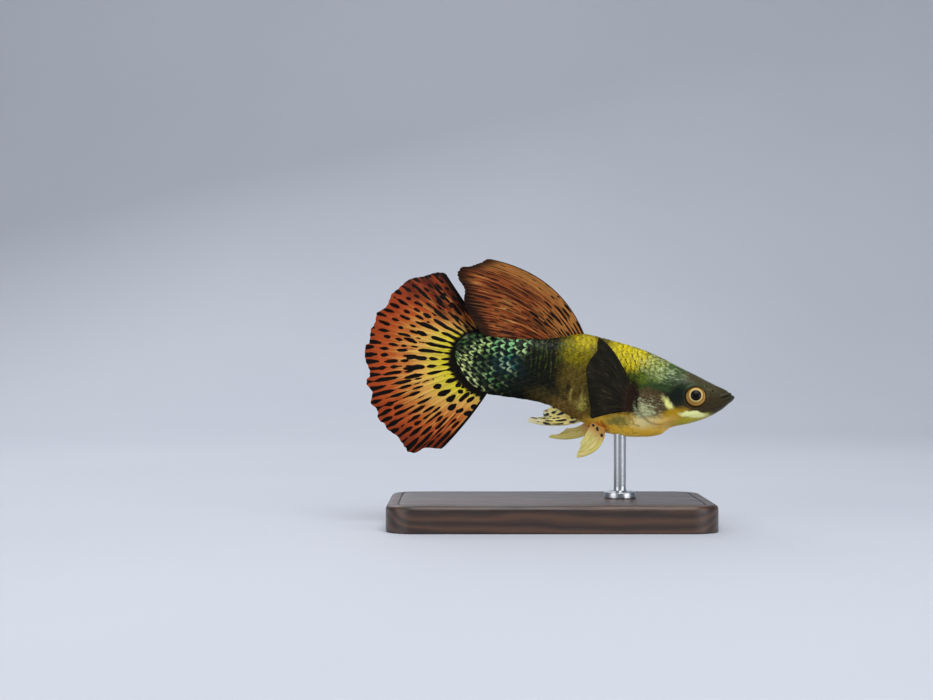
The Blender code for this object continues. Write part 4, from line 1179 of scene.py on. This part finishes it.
# The plate's rings, each an inset and a height: up the wall, over the edge and in along the top
base_top = BASE_SIZE[2]
rings = [(0.5, 0.0), (BASE_FOOT, 0.0), (0.0, BASE_FOOT), (0.0, base_top - BASE_EDGE - 0.4)]
rings += [(BASE_EDGE * (1 - cos(a)), base_top - BASE_EDGE * (1 - sin(a)))
          for a in np.linspace(0, pi / 2, 9)]
rings += [(LINE_INSET + off, base_top - deep) for off, deep in LINE_SHAPE]
rings += [(inset, base_top) for inset in TOP_INSETS]


def base_outline(inset):
    """Places round the plate's edge, set in by a distance, with the same count on every ring."""
    half = np.array(BASE_SIZE[:2]) / 2
    radius = max(BASE_CORNER - inset, LEAST_CORNER)
    further_in = max(inset - BASE_CORNER + LEAST_CORNER, 0)
    points = []
    for corner, hands in enumerate(((1, 1), (-1, 1), (-1, -1), (1, -1))):
        centre = (half - BASE_CORNER - further_in) * hands
        for turn in np.linspace(0, pi / 2, CORNER_STEPS) + corner * pi / 2:
            points.append((centre[0] + radius * cos(turn), centre[1] + radius * sin(turn)))
    return np.array(points)


wood, wire, shader = finish_named(
    "dark_hardwood", Roughness=0.42, Coat_Weight=0.3, Coat_Roughness=0.3
)
place = wire.node("ShaderNodeTexCoord").outputs["Object"]
drift = wire.times(wire.noise(wire.stretch(place, (60, 420, 420)), 0.5, 3.0, 0.6), 22.0)
from_heart = wire.length(wire.stretch(place, (0, 1, 1), HEART))
grain = wire.maths("SINE", wire.sloped(from_heart, RING_RATE, drift))
colour = wire.ramp(wire.sloped(grain, 0.5, 0.5), GRAIN)
pores = wire.noise(wire.stretch(place, (220, 5200, 5200)), 1.0, 2.0, 0.7)
open_pore = wire.ease(pores, 0.6, 0.72)
colour = wire.mix(wire.times(open_pore, 0.6), colour, PORE_DARK)
rough = wire.ease(pores, 0.3, 0.7, 0.34, 0.55)
sunk = wire.bump(wire.minus(1.0, open_pore), 0.35, 0.00006)
wire.connect(shader, Base_Color=colour, Roughness=rough, Normal=sunk)
ring_size = 4 * CORNER_STEPS
corners = np.concatenate([
    np.column_stack([base_outline(inset), np.full(ring_size, high)]) for inset, high in rings
])
down, along, faces = tube(len(rings), ring_size)
flat_chart = corners[:, :2] / MAP_SPAN + 0.25
flat_chart[corners[:, 2] < 0.1] += (0.5, 0)
wall = np.stack([along / ring_size, 0.55 + 0.4 * down / len(rings)], axis=-1)
on_top = (down.min(axis=1) >= WALL_RINGS)[:, None, None]
chart = np.where(on_top, flat_chart[down * ring_size + along % ring_size], wall).reshape(-1, 2)
chart = np.concatenate([chart, flat_chart[faces[-2]], flat_chart[faces[-1]]])
plate = cast("display_base", corners / 1000, faces, wood, chart, {})
plate.data.set_sharp_from_angle(angle=radians(35))
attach(plate, "root")
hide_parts("stand_base")

# The rod: brushed steel turned with a collar at its foot, where it is screwed down into the base,
# and let into the belly at its top.
ROD_BACK = 11.5  # the belly's point that it holds
ROD_RADIUS = 0.65
ROD_FILLET = 0.18
ROD_SUNK = 0.7
ROD_SIDES = 72
COLLAR_RADIUS = 1.7
COLLAR_HIGH = 0.7
STEEL_DARK = "#b0b3b7"
STEEL_PALE = "#b9bcc0"

held = posed(ROD_BACK, 0, belly_line(ROD_BACK)) * 1000
foot = base_top
collar = foot + COLLAR_HIGH
# The rod's radius at each height, from the foot up
turned = [(0.3, foot), (COLLAR_RADIUS - 0.08, foot), (COLLAR_RADIUS, foot + 0.08),
          (COLLAR_RADIUS, collar - 0.12), (COLLAR_RADIUS - 0.04, collar - 0.04),
          (COLLAR_RADIUS - 0.12, collar), (ROD_RADIUS + ROD_FILLET, collar),
          (ROD_RADIUS + 0.06, collar + 0.05), (ROD_RADIUS, collar + 0.16)]
turned += [(ROD_RADIUS, high) for high in np.linspace(collar + 0.6, held[2] + ROD_SUNK, 12)]
steel, wire, shader = finish_named("brushed_steel", Metallic=1.0)
place = wire.node("ShaderNodeTexCoord").outputs["Object"]
lines = wire.noise(wire.stretch(place, (300, 300, 30000)), 1.0, 2.0, 0.6)
smudge = wire.noise(place, 700.0)
colour = wire.mix(wire.ease(lines, 0.35, 0.65), STEEL_DARK, STEEL_PALE)
wire.connect(shader, Base_Color=colour, Roughness=wire.ease(smudge, 0.3, 0.7, 0.26, 0.36))
spin = np.arange(ROD_SIDES) * 2 * pi / ROD_SIDES
corners = [(held[0] + r * cos(a), held[1] + r * sin(a), high) for r, high in turned for a in spin]
down, along, faces = tube(len(turned), ROD_SIDES)
chart = np.stack([along / ROD_SIDES, 0.05 + 0.9 * down / len(turned)], axis=-1).reshape(-1, 2)
chart = np.concatenate([chart, np.full((2 * ROD_SIDES, 2), 0.01)])
rod = cast("display_rod", np.array(corners) / 1000, faces, steel, chart, {})
rod.data.set_sharp_from_angle(angle=radians(35))
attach(rod, "root")
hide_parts("stand_rod")
